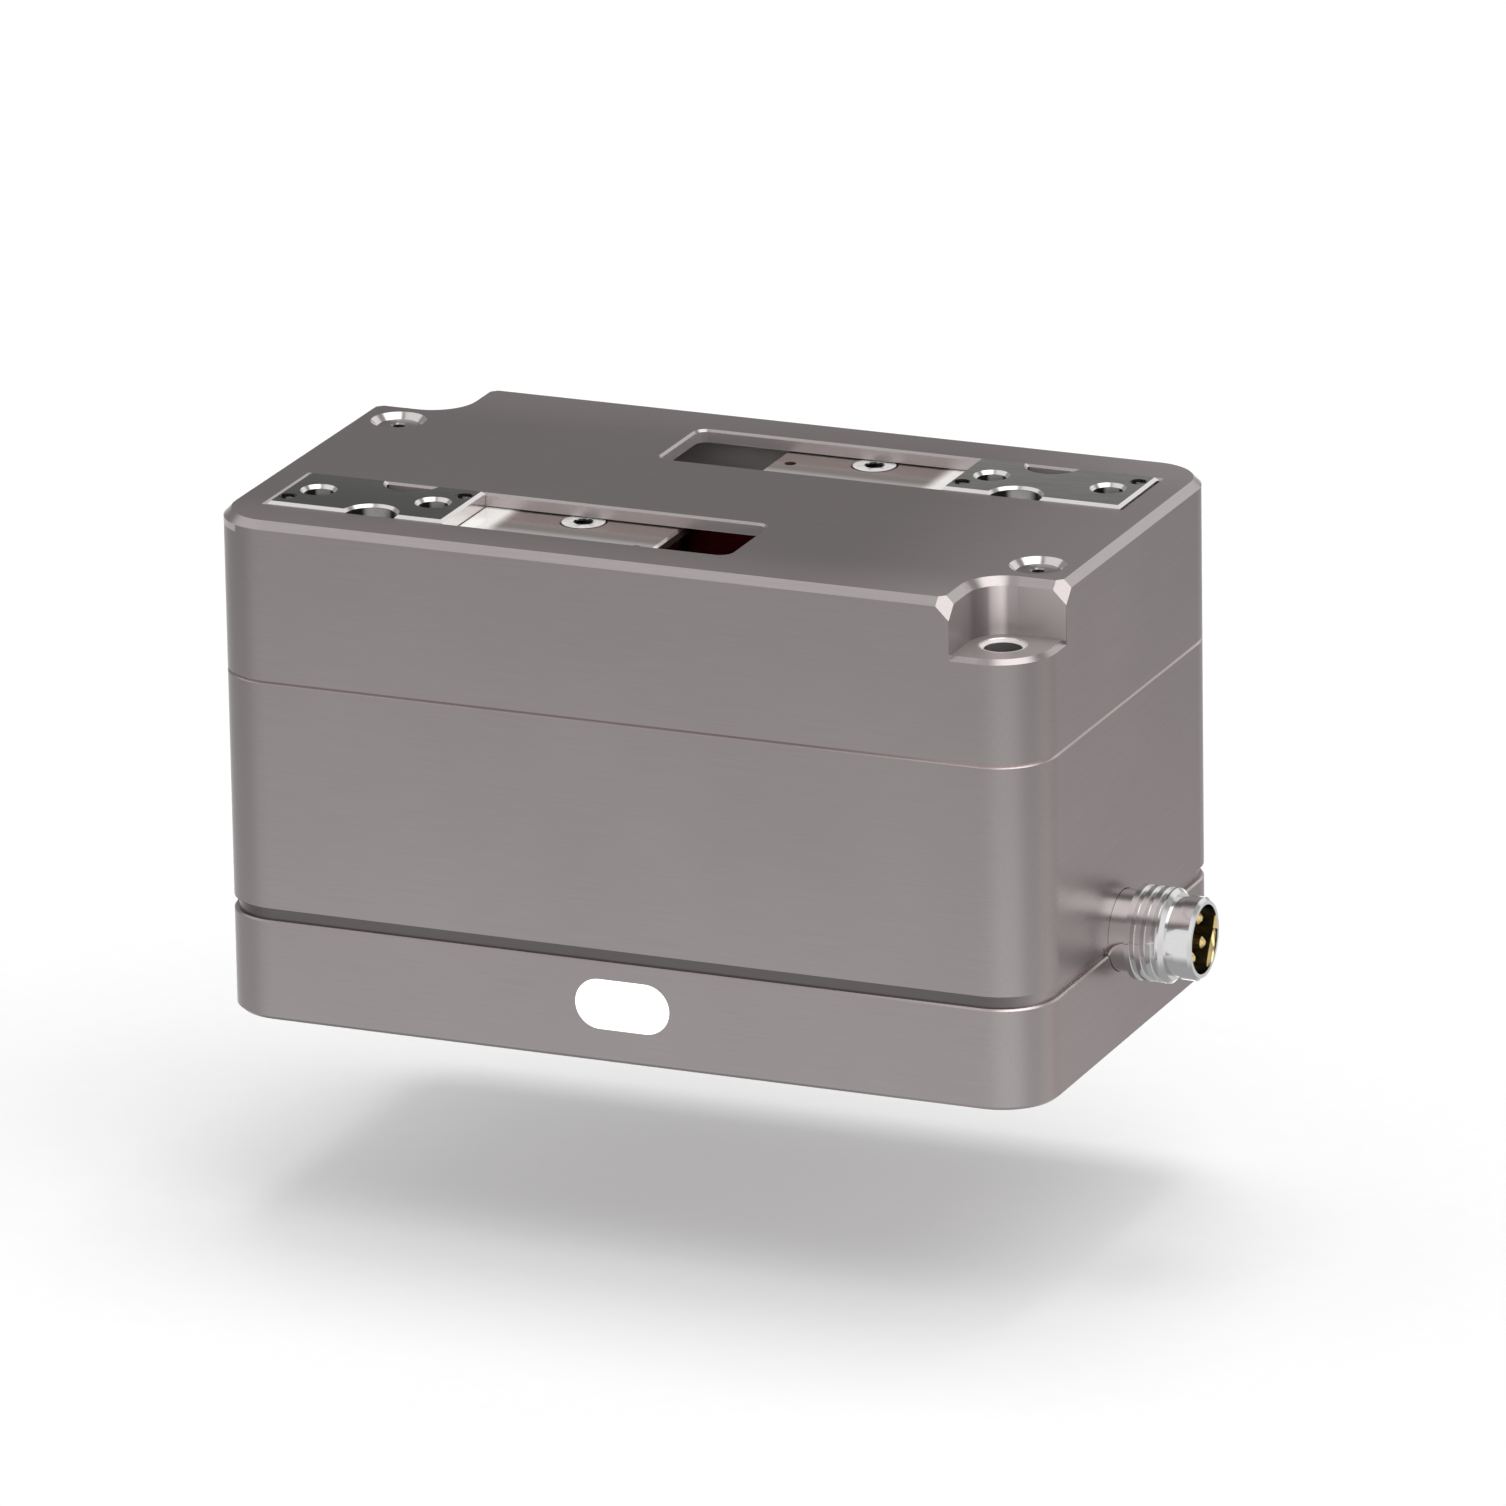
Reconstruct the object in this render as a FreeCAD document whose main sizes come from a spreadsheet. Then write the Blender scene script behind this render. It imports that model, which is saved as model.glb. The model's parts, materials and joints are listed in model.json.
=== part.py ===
import FreeCAD, Part
import math
import os
import re

import Sketcher
from FreeCAD import Placement, Rotation, Vector

# Electric two finger gripper, millimetres.
# The origin is the middle of the underside. X is the jaw travel and points to the
# connector side, the front with the status window looks along -Y, and Z is up.
# Every piece of the front jaw has a twin turned by half a turn about Z.

SIZES = {
    # Housing
    "width": 73.8,
    "depth": 41.6,
    "height": 43.5,
    "upper_height": 13.9,
    "base_height": 9.8,
    "corner_radius": 5.0,
    "wall": 2.6,
    "skin": 1.1,
    "floor": 2.4,
    "deck": 2.5,
    "top_chamfer": 0.65,
    "seam_chamfer": 0.15,
    "groove_height": 1.05,
    "groove_depth": 0.4,
    "shoulder_chamfer": 0.15,
    "foot_chamfer": 0.3,
    # How far a cutting shape reaches past the face that it opens
    "over": 1.0,
    # Corner notches and the two mounting bores in them
    "notch_x": 7.35,
    "notch_y": 7.3,
    "notch_depth": 4.8,
    "notch_radius": 3.1,
    "notch_floor_chamfer": 0.4,
    "notch_facet": 1.8,
    "bore_inset": 4.4,
    "bore_radius": 1.6,
    "bore_chamfer": 0.3,
    # Slots in the top, and the travel of each jaw
    "travel": 25.0,
    "travel_spare": 0.55,
    "slot_inset": 9.4,
    "slot_end_inset": 3.3,
    "slot_depth": 1.2,
    "slot_gap": 0.1,
    "slot_end_gap": 0.15,
    "slot_corner": 1.0,
    "slot_chamfer": 0.2,
    # Blocks and posts inside the housing, measured from its sides
    "block_inset_x": 9.5,
    "block_inset_y": 14.2,
    "boss_inset": 6.7,
    "boss_height": 3.0,
    "post_inset": 7.4,
    "pillar_radius": 2.2,
    "pillar_inset": 2.4,
    "pillar_end_inset": 2.2,
    "pillar_inner_x": 9.5,
    "pillar_right_x": 11.0,
    # Screws by thread radius, head radius and head height
    "screw_gap": 0.03,
    "head_gap": 0.05,
    "thread_spare": 0.4,
    "screw_tip_gap": 0.2,
    "cover_screw_inset_x": 4.05,
    "cover_screw_inset_y": 11.3,
    "cover_screw_radius": 1.0,
    "cover_screw_head": 1.9,
    "cover_screw_head_height": 0.9,
    "cover_screw_recess": 0.45,
    "cover_screw_length": 18.5,
    "long_screw_radius": 1.25,
    "long_screw_head": 2.25,
    "long_screw_head_height": 2.5,
    "long_screw_recess": 0.4,
    "small_screw_radius": 1.0,
    "small_screw_head": 1.9,
    "small_screw_head_height": 1.1,
    "rail_screw_length": 9.0,
    "bridge_screw_length": 14.2,
    "plate_screw_length": 8.4,
    "board_screw_length": 4.6,
    "fine_screw_radius": 0.8,
    "fine_screw_head": 1.5,
    "fine_screw_head_height": 0.8,
    "rack_screw_length": 4.2,
    "motor_screw_length": 5.0,
    "strip_screw_radius": 1.0,
    "strip_screw_head": 2.0,
    "strip_screw_head_height": 0.8,
    "strip_screw_length": 3.4,
    # Jaws
    "jaw_length": 15.9,
    "jaw_width": 8.7,
    "jaw_rise": 0.2,
    "jaw_chamfer": 0.25,
    "scallop_radius": 2.2,
    "scallop_shift": 1.4,
    "finger_hole_radius": 1.25,
    "finger_hole_pitch": 10.4,
    "finger_hole_depth": 6.0,
    "finger_hole_chamfer": 0.3,
    "dowel_hole_radius": 0.75,
    "dowel_inset_x": 1.05,
    "dowel_inset_y": 1.85,
    "dowel_hole_depth": 3.0,
    "carriage_end_inset": 0.25,
    "carriage_block_gap": 2.8,
    "carriage_wall_gap": 1.2,
    "carriage_lift": 3.4,
    # Slide covers under the slots
    "strip_overhang": 0.2,
    "strip_end_overhang": 0.5,
    "strip_bridge_gap": 1.1,
    "strip_wall_gap": 0.8,
    "strip_thickness": 0.8,
    "strip_gap": 0.1,
    "strip_chamfer": 0.2,
    "strip_screw_inset_x": 7.9,
    "strip_screw_inset_near": 1.7,
    "strip_screw_inset_far": 2.1,
    "strip_pin_radius": 0.5,
    "strip_pin_inset": 1.6,
    "strip_pin_y": 1.5,
    # Guide rails
    "rail_end_gap": 0.4,
    "rail_block_gap": 0.9,
    "rail_foot_width": 5.0,
    "rail_foot_height": 2.8,
    "rail_neck_width": 3.2,
    "rail_neck_height": 2.0,
    "rail_head_width": 6.0,
    "rail_head_height": 2.4,
    "rail_gap": 0.05,
    "rail_screw_inset_outer": 6.9,
    "rail_screw_inset_inner": 7.5,
    # Racks
    "rack_spare": 2.8,
    "rack_overrun": 3.0,
    "rack_depth": 2.2,
    "rack_lift": 4.0,
    "rack_tooth_height": 3.0,
    "rack_height": 6.0,
    "rack_plate_thickness": 1.5,
    "rack_screw_rise": 1.6,
    "rack_screw_inset_outer": 3.8,
    "rack_screw_inset_inner": 4.6,
    # Gear train
    "gear_module": 0.5,
    "fine_module": 0.4,
    "train_reach": 21.377558,
    "gear_backlash": 0.12,
    "gear_room": 9.4,
    "pinion_thickness": 2.4,
    "drive_gear_thickness": 2.8,
    "drive_hub_radius": 4.2,
    "drive_hub_height": 0.6,
    "deck_gap": 0.1,
    "deck_hole_radius": 3.0,
    "idler_lift": 0.7,
    "idler_large_thickness": 2.0,
    "idler_small_thickness": 3.7,
    "idler_pin_radius": 1.0,
    "idler_pin_depth": 1.2,
    "motor_pinion_lift": 0.4,
    "motor_pinion_thickness": 2.5,
    "running_gap": 0.03,
    "press_gap": 0.01,
    "shaft_radius": 2.0,
    # Bearings and the bridge that carries the upper one
    "bearing_radius": 3.5,
    "bearing_width": 2.0,
    "bearing_lip": 2.6,
    "bearing_recess": 0.15,
    "bearing_rim": 0.5,
    "bearing_depth": 1.8,
    "bridge_half_length": 9.5,
    "bridge_half_width": 4.3,
    "bridge_top_gap": 0.2,
    "bridge_lift": 0.6,
    "bridge_leg_length": 3.2,
    "bridge_leg_half_width": 3.1,
    "bridge_screw_x": 7.9,
    # Gear plate and motor
    "plate_post_gap": 0.8,
    "plate_wall_gap": 1.3,
    "plate_right": 14.0,
    "plate_thickness": 2.2,
    "motor_y": -4.0,
    "motor_radius": 11.0,
    "motor_wall_gap": 2.3,
    "motor_chamfer": 0.6,
    "motor_pilot_radius": 3.1,
    "motor_pilot_height": 1.4,
    "motor_shaft_radius": 1.0,
    "motor_shaft_inset": 3.6,
    "motor_shaft_spare": 0.1,
    "motor_screw_pitch": 12.0,
    "encoder_radius": 9.0,
    "encoder_thickness": 1.0,
    "encoder_gap": 2.4,
    # Electronics in the base
    "board_lift": 1.2,
    "board_gap": 0.8,
    "board_thickness": 1.6,
    "pin_board_gap": 0.2,
    "standoff_radius": 2.3,
    "standoff_inset_x": 2.7,
    "standoff_inset_y": 3.0,
    "pin_inset": 5.9,
    "pin_hole_radius": 1.5,
    "pin_hole_depth": 4.0,
    "pin_boss_radius": 2.6,
    "pin_boss_top": 5.0,
    # Status window
    "window_length": 8.4,
    "window_height": 4.3,
    "window_z": 5.05,
    "window_gap": 0.03,
    "window_flange": 0.45,
    "window_flange_depth": 0.8,
    "status_board_half": 6.5,
    "status_board_top": 8.4,
    "status_board_thickness": 0.8,
    "lamp_depth": 0.6,
    "lamp_size": 1.6,
    "lamp_pitch": 2.6,
    # Connector
    "plug_y": -1.6,
    "plug_z": 10.0,
    "plug_collar_radius": 3.45,
    "plug_collar_length": 1.6,
    "plug_thread_radius": 4.0,
    "plug_thread_length": 2.95,
    "plug_thread_pitch": 0.92,
    "plug_thread_runin": 0.69,
    "plug_thread_depth": 0.35,
    "plug_groove_half": 0.24,
    "plug_thread_chamfer": 0.35,
    "plug_neck_radius": 3.35,
    "plug_neck_end": 5.75,
    "plug_nose_radius": 3.5,
    "plug_length": 7.2,
    "plug_nose_chamfer": 0.25,
    "plug_inside": 3.5,
    "plug_flange_radius": 4.5,
    "plug_flange_start": 1.15,
    "plug_flange_width": 0.7,
    "plug_gap": 0.05,
    "plug_bore_radius": 2.92,
    "plug_bore_depth": 8.6,
    "plug_tail_radius": 2.4,
    "insert_gap": 0.02,
    "insert_length": 4.4,
    "contact_radius": 0.5,
    "contact_circle": 1.7,
    "contact_recess": 0.6,
    "contact_tail": 1.2,
}

# Tooth counts
PINION_TEETH = 16
DRIVE_TEETH = 40
IDLER_SMALL_TEETH = 12
IDLER_LARGE_TEETH = 48
MOTOR_TEETH = 12
THREAD_GROOVES = 3
ADDENDUM = 0.8
DEDENDUM = 1.12
PRESSURE_ANGLE = math.radians(20.0)
CONTACT_TURN = 60.0

# Places that follow from the sizes
PLACES = {
    "seam_height": "height - upper_height",
    "shoulder_height": "base_height - groove_height",
    "bore_x": "width / 2 - bore_inset",
    "bore_y": "depth / 2 - bore_inset",
    "cover_screw_x": "width / 2 - cover_screw_inset_x",
    "cover_screw_y": "depth / 2 - cover_screw_inset_y",
    "block_x": "width / 2 - block_inset_x",
    "block_y": "depth / 2 - block_inset_y",
    "boss_x": "width / 2 - boss_inset",
    "boss_y": "depth / 2 - boss_inset",
    "post_x": "width / 2 - post_inset",
    "post_y": "depth / 2 - post_inset",
    "pinion_pitch": "%d * gear_module / 2" % PINION_TEETH,
    # The slots and what runs under them
    "slot_y": "depth / 2 - slot_inset",
    "slot_width": "jaw_width + 2 * slot_gap",
    "slot_outer": "width / 2 - slot_end_inset",
    "jaw_x": "slot_outer - slot_end_gap - jaw_length / 2",
    "jaw_top": "height + jaw_rise",
    "slot_inner": "travel + travel_spare - jaw_x + jaw_length / 2",
    "dowel_hole_x": "jaw_length / 2 - dowel_inset_x",
    "dowel_hole_y": "jaw_width / 2 - dowel_inset_y",
    "carriage_outer": "jaw_x + jaw_length / 2 - carriage_end_inset",
    "carriage_inner": "travel + carriage_block_gap - block_x",
    "carriage_near": "pinion_pitch + rack_depth",
    "carriage_far": "depth / 2 - wall - carriage_wall_gap",
    "carriage_bottom": "seam_height + carriage_lift",
    "carriage_top": "height - slot_depth - strip_thickness",
    "strip_outer": "carriage_outer + strip_overhang",
    "strip_inner": "carriage_inner - strip_end_overhang",
    "strip_near": "bridge_half_width + strip_bridge_gap",
    "strip_far": "depth / 2 - wall - strip_wall_gap",
    "strip_screw_x": "carriage_inner + strip_screw_inset_x",
    "strip_screw_near": "carriage_near + strip_screw_inset_near",
    "strip_screw_far": "carriage_far - strip_screw_inset_far",
    "strip_pin_x": "strip_inner + strip_pin_inset",
    "rail_outer": "width / 2 - wall - rail_end_gap",
    "rail_inner": "block_x - rail_block_gap",
    "rail_screw_outer": "rail_outer - rail_screw_inset_outer",
    "rail_screw_inner": "rail_inner - rail_screw_inset_inner",
    "rail_screw_mid": "(rail_screw_outer - rail_screw_inner) / 2",
    "rack_outer": "travel + rack_spare",
    "rack_bottom": "seam_height + rack_lift",
    "rack_screw_outer": "rack_outer - rack_screw_inset_outer",
    "rack_screw_inner": "carriage_inner + rack_screw_inset_inner",
    "rack_face": "carriage_near - rack_plate_thickness",
    "rack_screw_z": "rack_bottom + rack_tooth_height + rack_screw_rise",
    # The gear train hangs under the deck, the bridge stands above it
    "plate_top": "seam_height - gear_room",
    "plate_bottom": "plate_top - plate_thickness",
    "plate_left": "post_x - plate_post_gap",
    "plate_half_width": "depth / 2 - wall - plate_wall_gap",
    "pillar_outer_x": "plate_left - pillar_end_inset",
    "pillar_y": "plate_half_width - pillar_inset",
    "pinion_bottom": "rack_bottom + (rack_tooth_height - pinion_thickness) / 2",
    "drive_gear_top": "seam_height - deck - deck_gap - drive_hub_height",
    "drive_gear_bottom": "drive_gear_top - drive_gear_thickness",
    "idler_bottom": "plate_top + idler_lift",
    "idler_pin_top": "seam_height - deck + idler_pin_depth",
    "motor_pinion_bottom": "plate_top + motor_pinion_lift",
    "motor_shaft_top": "motor_pinion_bottom + motor_pinion_thickness + motor_shaft_spare",
    "bearing_bottom": "plate_top - bearing_width",
    "bridge_top": "height - skin - bridge_top_gap",
    "bridge_underside": "pinion_bottom + pinion_thickness + bridge_lift",
    "shaft_top": "bridge_top - bearing_depth",
    # Boards and motor in the base
    "pin_hole_x": "width / 2 - pin_inset",
    "board_bottom": "floor + board_lift",
    "board_top": "board_bottom + board_thickness",
    "board_half_length": "pin_hole_x - pin_boss_radius - pin_board_gap",
    "board_back": "depth / 2 - wall - board_gap",
    "board_front": "board_back - window_flange_depth - lamp_depth - status_board_thickness",
    "standoff_x": "board_half_length - standoff_inset_x",
    "standoff_front": "board_front - standoff_inset_y",
    "standoff_back": "board_back - standoff_inset_y",
    "motor_x": "motor_radius + motor_wall_gap + wall - width / 2",
    "motor_bottom": "board_top + encoder_gap + encoder_thickness",
    "motor_shaft_bottom": "motor_bottom + motor_shaft_inset",
    "long_screw_length": "seam_height + boss_height - thread_spare - screw_tip_gap - long_screw_recess",
}

doc = FreeCAD.newDocument("gripper")
sheet = doc.addObject("Spreadsheet::Sheet", "Sizes")
cells = list(SIZES.items()) + [(alias, "=" + text) for alias, text in PLACES.items()]
for row, (alias, content) in enumerate(cells, start=1):
    sheet.set("A%d" % row, alias)
    sheet.set("B%d" % row, str(content))
    sheet.setAlias("B%d" % row, alias)
doc.recompute()
size = {alias: float(sheet.get(alias)) for alias, content in cells}

parts = []


def formula(text):
    """Turns the named sizes in a text into references to the sheet."""
    def name(word):
        return "Sizes." + word.group(0) if word.group(0) in size else word.group(0)
    return re.sub(r"[a-z][a-z_0-9]*", name, text)


def bind(item, prop, text):
    item.setExpression(prop, formula(text))


def move(item, x, y, z):
    bind(item, "Placement.Base.x", x)
    bind(item, "Placement.Base.y", y)
    bind(item, "Placement.Base.z", z)
    return item


def keep(item, label):
    """Marks an object as a finished piece of the gripper."""
    item.Label = label
    parts.append(item)
    return item


def box(name, x, y, z):
    item = doc.addObject("Part::Box", name)
    for side, (low, high) in zip(("Length", "Width", "Height"), (x, y, z)):
        bind(item, side, "(%s) - (%s)" % (high, low))
    return move(item, x[0], y[0], z[0])


TURNS = {
    "z": Rotation(),
    "x": Rotation(Vector(0, 1, 0), 90),
    "y": Rotation(Vector(1, 0, 0), -90),
}


def rod(name, radius, centre, start, end, axis="z"):
    """A cylinder along an axis. The centre holds the other two coordinates in order."""
    item = doc.addObject("Part::Cylinder", name)
    bind(item, "Radius", radius)
    bind(item, "Height", "(%s) - (%s)" % (end, start))
    item.Placement = Placement(Vector(), TURNS[axis])
    return move(item, *place(centre, start, axis))


def cone(name, first, last, centre, start, end, axis="z"):
    item = doc.addObject("Part::Cone", name)
    bind(item, "Radius1", first)
    bind(item, "Radius2", last)
    bind(item, "Height", "(%s) - (%s)" % (end, start))
    item.Placement = Placement(Vector(), TURNS[axis])
    return move(item, *place(centre, start, axis))


def place(centre, start, axis):
    if axis == "x":
        return start, centre[0], centre[1]
    if axis == "y":
        return centre[0], start, centre[1]
    return centre[0], centre[1], start


def join(name, items):
    if len(items) == 1:
        return items[0]
    item = doc.addObject("Part::MultiFuse", name)
    item.Shapes = items
    return item


def cut(name, base, tools):
    item = doc.addObject("Part::Cut", name)
    item.Base = base
    item.Tool = join(name + "_tools", tools)
    return item


def group(name, items):
    item = doc.addObject("Part::Compound", name)
    item.Links = items
    return item


def half_turn(item):
    item.Placement = Placement(Vector(), Rotation(Vector(0, 0, 1), 180))
    return item


def chamfer(name, base, picks):
    """Chamfers the edges that each pick chooses, by the amount beside it."""
    doc.recompute()
    item = doc.addObject("Part::Chamfer", name)
    item.Base = base
    edges = []
    for number, edge in enumerate(base.Shape.Edges, start=1):
        for chosen, amount in picks:
            if chosen(edge):
                edges.append((number, amount, amount))
                break
    item.Edges = edges
    return item


def at_height(z):
    return lambda edge: all(abs(v.Z - z) < 1e-4 for v in edge.Vertexes)


def plane_of(body, role):
    return [feature for feature in body.Origin.OriginFeatures if feature.Role == role][0]


def new_sketch(body, name, start):
    sketch = body.newObject("Sketcher::SketchObject", name + "_sketch")
    sketch.AttachmentSupport = [(plane_of(body, "XY_Plane"), "")]
    sketch.MapMode = "FlatFace"
    bind(sketch, "AttachmentOffset.Base.z", start)
    return sketch


def rounded_block(name, size_x, size_y, radius, start, end):
    """An upright block with rounded corners, centred on its own Z axis."""
    body = doc.addObject("PartDesign::Body", name)
    sketch = new_sketch(body, name, start)
    # Any rough block will do here, because the constraints give it its size
    a, b, r = 20.0, 10.0, 2.0
    corners = [(a - r, -b + r, -90), (a - r, b - r, 0), (-a + r, b - r, 90), (-a + r, -b + r, 180)]
    arcs = []
    for cx, cy, turn in corners:
        circle = Part.Circle(Vector(cx, cy, 0), Vector(0, 0, 1), r)
        arcs.append(Part.ArcOfCircle(circle, math.radians(turn), math.radians(turn + 90)))
    for index, arc in enumerate(arcs):
        following = arcs[(index + 1) % 4]
        sketch.addGeometry(arc, False)
        sketch.addGeometry(Part.LineSegment(arc.EndPoint, following.StartPoint), False)
    for index in range(8):
        sketch.addConstraint(Sketcher.Constraint("Tangent", index, 2, (index + 1) % 8, 1))
    for index in (1, 5):
        sketch.addConstraint(Sketcher.Constraint("Vertical", index))
    for index in (3, 7):
        sketch.addConstraint(Sketcher.Constraint("Horizontal", index))
    for index in (2, 4, 6):
        sketch.addConstraint(Sketcher.Constraint("Equal", 0, index))
    sketch.addConstraint(Sketcher.Constraint("Symmetric", 0, 3, 4, 3, -1, 1))
    bound = (("Radius", (0,), r, radius),
             ("DistanceX", (4, 3, 2, 3), 2 * (a - r), "(%s) - 2 * (%s)" % (size_x, radius)),
             ("DistanceY", (0, 3, 2, 3), 2 * (b - r), "(%s) - 2 * (%s)" % (size_y, radius)))
    for kind, where, value, text in bound:
        number = sketch.addConstraint(Sketcher.Constraint(kind, *where, value))
        bind(sketch, "Constraints[%d]" % number, text)
    pad = body.newObject("PartDesign::Pad", name + "_pad")
    pad.Profile = sketch
    bind(pad, "Length", "(%s) - (%s)" % (end, start))
    body.Tip = pad
    return body


def outline_block(name, points, start, end):
    """An upright block over a closed outline of points."""
    body = doc.addObject("PartDesign::Body", name)
    sketch = new_sketch(body, name, start)
    for first, last in zip(points, points[1:] + points[:1]):
        sketch.addGeometry(Part.LineSegment(Vector(*first, 0), Vector(*last, 0)), False)
    pad = body.newObject("PartDesign::Pad", name + "_pad")
    pad.Profile = sketch
    bind(pad, "Length", "(%s) - (%s)" % (end, start))
    body.Tip = pad
    return body


def turned_block(name, points, x, y, z):
    """A round piece: a closed profile over the X axis, turned once round it."""
    body = doc.addObject("PartDesign::Body", name)
    sketch = new_sketch(body, name, "0")
    for first, last in zip(points, points[1:] + points[:1]):
        sketch.addGeometry(Part.LineSegment(Vector(*first, 0), Vector(*last, 0)), False)
    turned = body.newObject("PartDesign::Revolution", name + "_turned")
    turned.Profile = sketch
    turned.ReferenceAxis = (sketch, ["H_Axis"])
    turned.Angle = 360.0
    body.Tip = turned
    return move(body, x, y, z)


def rim_chamfer(body, name, amount, z):
    """Chamfers the rim of a block at one height."""
    doc.recompute()
    base = body.Tip
    names = ["Edge%d" % number for number, edge in enumerate(base.Shape.Edges, start=1)
             if at_height(z)(edge)]
    feature = body.newObject("PartDesign::Chamfer", name)
    feature.Base = (base, names)
    bind(feature, "Size", amount)
    body.Tip = feature
    return body


def screw(name, kind, length, at, turn=None, conical=True):
    """A socket screw with its head on top, turned and put where it belongs."""
    radius, head, rise = kind + "_radius", kind + "_head", kind + "_head_height"
    zero = ("0", "0")
    if conical:
        top = cone(name + "_head", radius, head, zero, "-" + rise, "0")
    else:
        top = rod(name + "_head", head, zero, "-" + rise, "0")
    shank = rod(name + "_shank", radius, zero, "-" + length, "-" + rise + " * 0.5")
    socket = doc.addObject("Part::Prism", name + "_socket")
    socket.Polygon = 6
    bind(socket, "Circumradius", head + " * 0.42")
    bind(socket, "Height", rise + " * 0.8")
    move(socket, "0", "0", "-" + rise + " * 0.55")
    item = cut(name, join(name + "_solid", [top, shank]), [socket])
    if turn:
        item.Placement = Placement(Vector(), turn)
    return move(item, *at)


def sunk_hole(name, kind, at, depth, top):
    """The hole of a countersunk screw: its cone and its shank, with clearance."""
    sink = cone(name + "_sink", kind + "_radius + head_gap", kind + "_head + head_gap",
                at, "%s - %s_head_height" % (top, kind), top)
    shank = rod(name + "_shank", kind + "_radius + screw_gap", at, "%s - (%s)" % (top, depth),
                "%s - %s_head_height * 0.5" % (top, kind))
    return [sink, shank]


# Gear outlines

def involute(angle):
    return math.tan(angle) - angle


def gear_points(teeth, module, phase):
    pitch = teeth * module / 2.0
    base = pitch * math.cos(PRESSURE_ANGLE)
    tip = pitch + ADDENDUM * module
    root = pitch - DEDENDUM * module
    half = math.pi / (2 * teeth) - size["gear_backlash"] / (2 * pitch)

    def half_width(radius):
        angle = math.acos(min(1.0, base / max(radius, base)))
        return half + involute(PRESSURE_ANGLE) - involute(angle)

    low = max(base, root)
    radii = [root, low, (low + pitch) / 2, (pitch + tip) / 2, tip]
    if root >= base:
        radii = radii[1:]
    points = []
    for tooth in range(teeth):
        middle = phase + 2 * math.pi * tooth / teeth
        for radius in radii:
            turn = middle - half_width(radius)
            points.append((radius * math.cos(turn), radius * math.sin(turn)))
        for radius in reversed(radii):
            turn = middle + half_width(radius)
            points.append((radius * math.cos(turn), radius * math.sin(turn)))
    return points


def rack_points(outer, inner, back, pitch_line, module):
    """A rack along X whose teeth point to +Y, with a gap at X = 0."""
    pitch = math.pi * module
    tip = pitch_line + ADDENDUM * module
    root = pitch_line - DEDENDUM * module
    slope = math.tan(PRESSURE_ANGLE)
    half = pitch / 4 - size["gear_backlash"] / 2
    points = [(inner, back), (inner, root)]
    number = math.floor(inner / pitch - 0.5) + 1
    while number > outer / pitch - 1:
        middle = (number - 0.5) * pitch
        wide = half + (pitch_line - root) * slope
        narrow = half - (tip - pitch_line) * slope
        if middle + wide < inner and middle - wide > outer:
            points += [(middle + wide, root), (middle + narrow, tip),
                       (middle - narrow, tip), (middle - wide, root)]
        number -= 1
    points += [(outer, root), (outer, back)]
    return points[::-1]


# Positions of the gear axes; the train's teeth grow with the way from the pinion to the motor

motor_at = Vector(size["motor_x"], size["motor_y"], 0)
reach = motor_at.Length
train_scale = reach / size["train_reach"]
fine_tooth = size["fine_module"] * train_scale
coarse_tooth = size["gear_module"] * train_scale
first_stage = (IDLER_LARGE_TEETH + MOTOR_TEETH) * fine_tooth / 2
second_stage = (DRIVE_TEETH + IDLER_SMALL_TEETH) * coarse_tooth / 2
along = (second_stage ** 2 - first_stage ** 2 + reach ** 2) / (2 * reach)
aside = math.sqrt(second_stage ** 2 - along ** 2)
toward = motor_at / reach
idler_at = toward * along + Vector(toward.y, -toward.x, 0) * aside
idler_turn = math.atan2(idler_at.y, idler_at.x)
motor_turn = math.atan2(motor_at.y - idler_at.y, motor_at.x - idler_at.x)
idler_centre = ("%.5f" % idler_at.x, "%.5f" % idler_at.y)
motor_centre = ("motor_x", "motor_y")
zero = ("0", "0")

# The two mounting bores are on one diagonal, the two long screws on the other
mount_corners = [("bore_x", "-bore_y"), ("-bore_x", "bore_y")]
screw_corners = [("-bore_x", "-bore_y"), ("bore_x", "bore_y")]
cover_corners = [("cover_screw_x", "-cover_screw_y"), ("-cover_screw_x", "cover_screw_y")]
signs = ("", "-")


def beyond(sign, limit, far):
    """The range from a limit out to a far value on the side that a sign names."""
    return (limit, far) if sign == "" else ("-(%s)" % far, "-(%s)" % limit)


inside_x = "width / 2 - wall"
inside_y = "depth / 2 - wall"

# Upper housing

upper = rounded_block("upper_outer", "width", "depth", "corner_radius", "seam_height", "height")
rim_chamfer(upper, "upper_seam_chamfer", "seam_chamfer", size["seam_height"])

notches = []
for index, (sx, sy) in enumerate((("", "-"), ("-", ""))):
    x_wall = "width / 2 - notch_x"
    y_wall = "depth / 2 - notch_y"
    z = ("height - notch_depth", "height + over")
    name = "notch%d" % index
    notches.append(box(name + "_long", beyond(sx, x_wall + " + notch_radius", "width"),
                       beyond(sy, y_wall, "depth"), z))
    notches.append(box(name + "_deep", beyond(sx, x_wall, "width"),
                       beyond(sy, y_wall + " + notch_radius", "depth"), z))
    notches.append(rod(name + "_corner", "notch_radius",
                       ("%s(%s + notch_radius)" % (sx, x_wall), "%s(%s + notch_radius)" % (sy, y_wall)),
                       z[0], z[1]))
upper_notched = cut("upper_notched", upper, notches)

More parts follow.
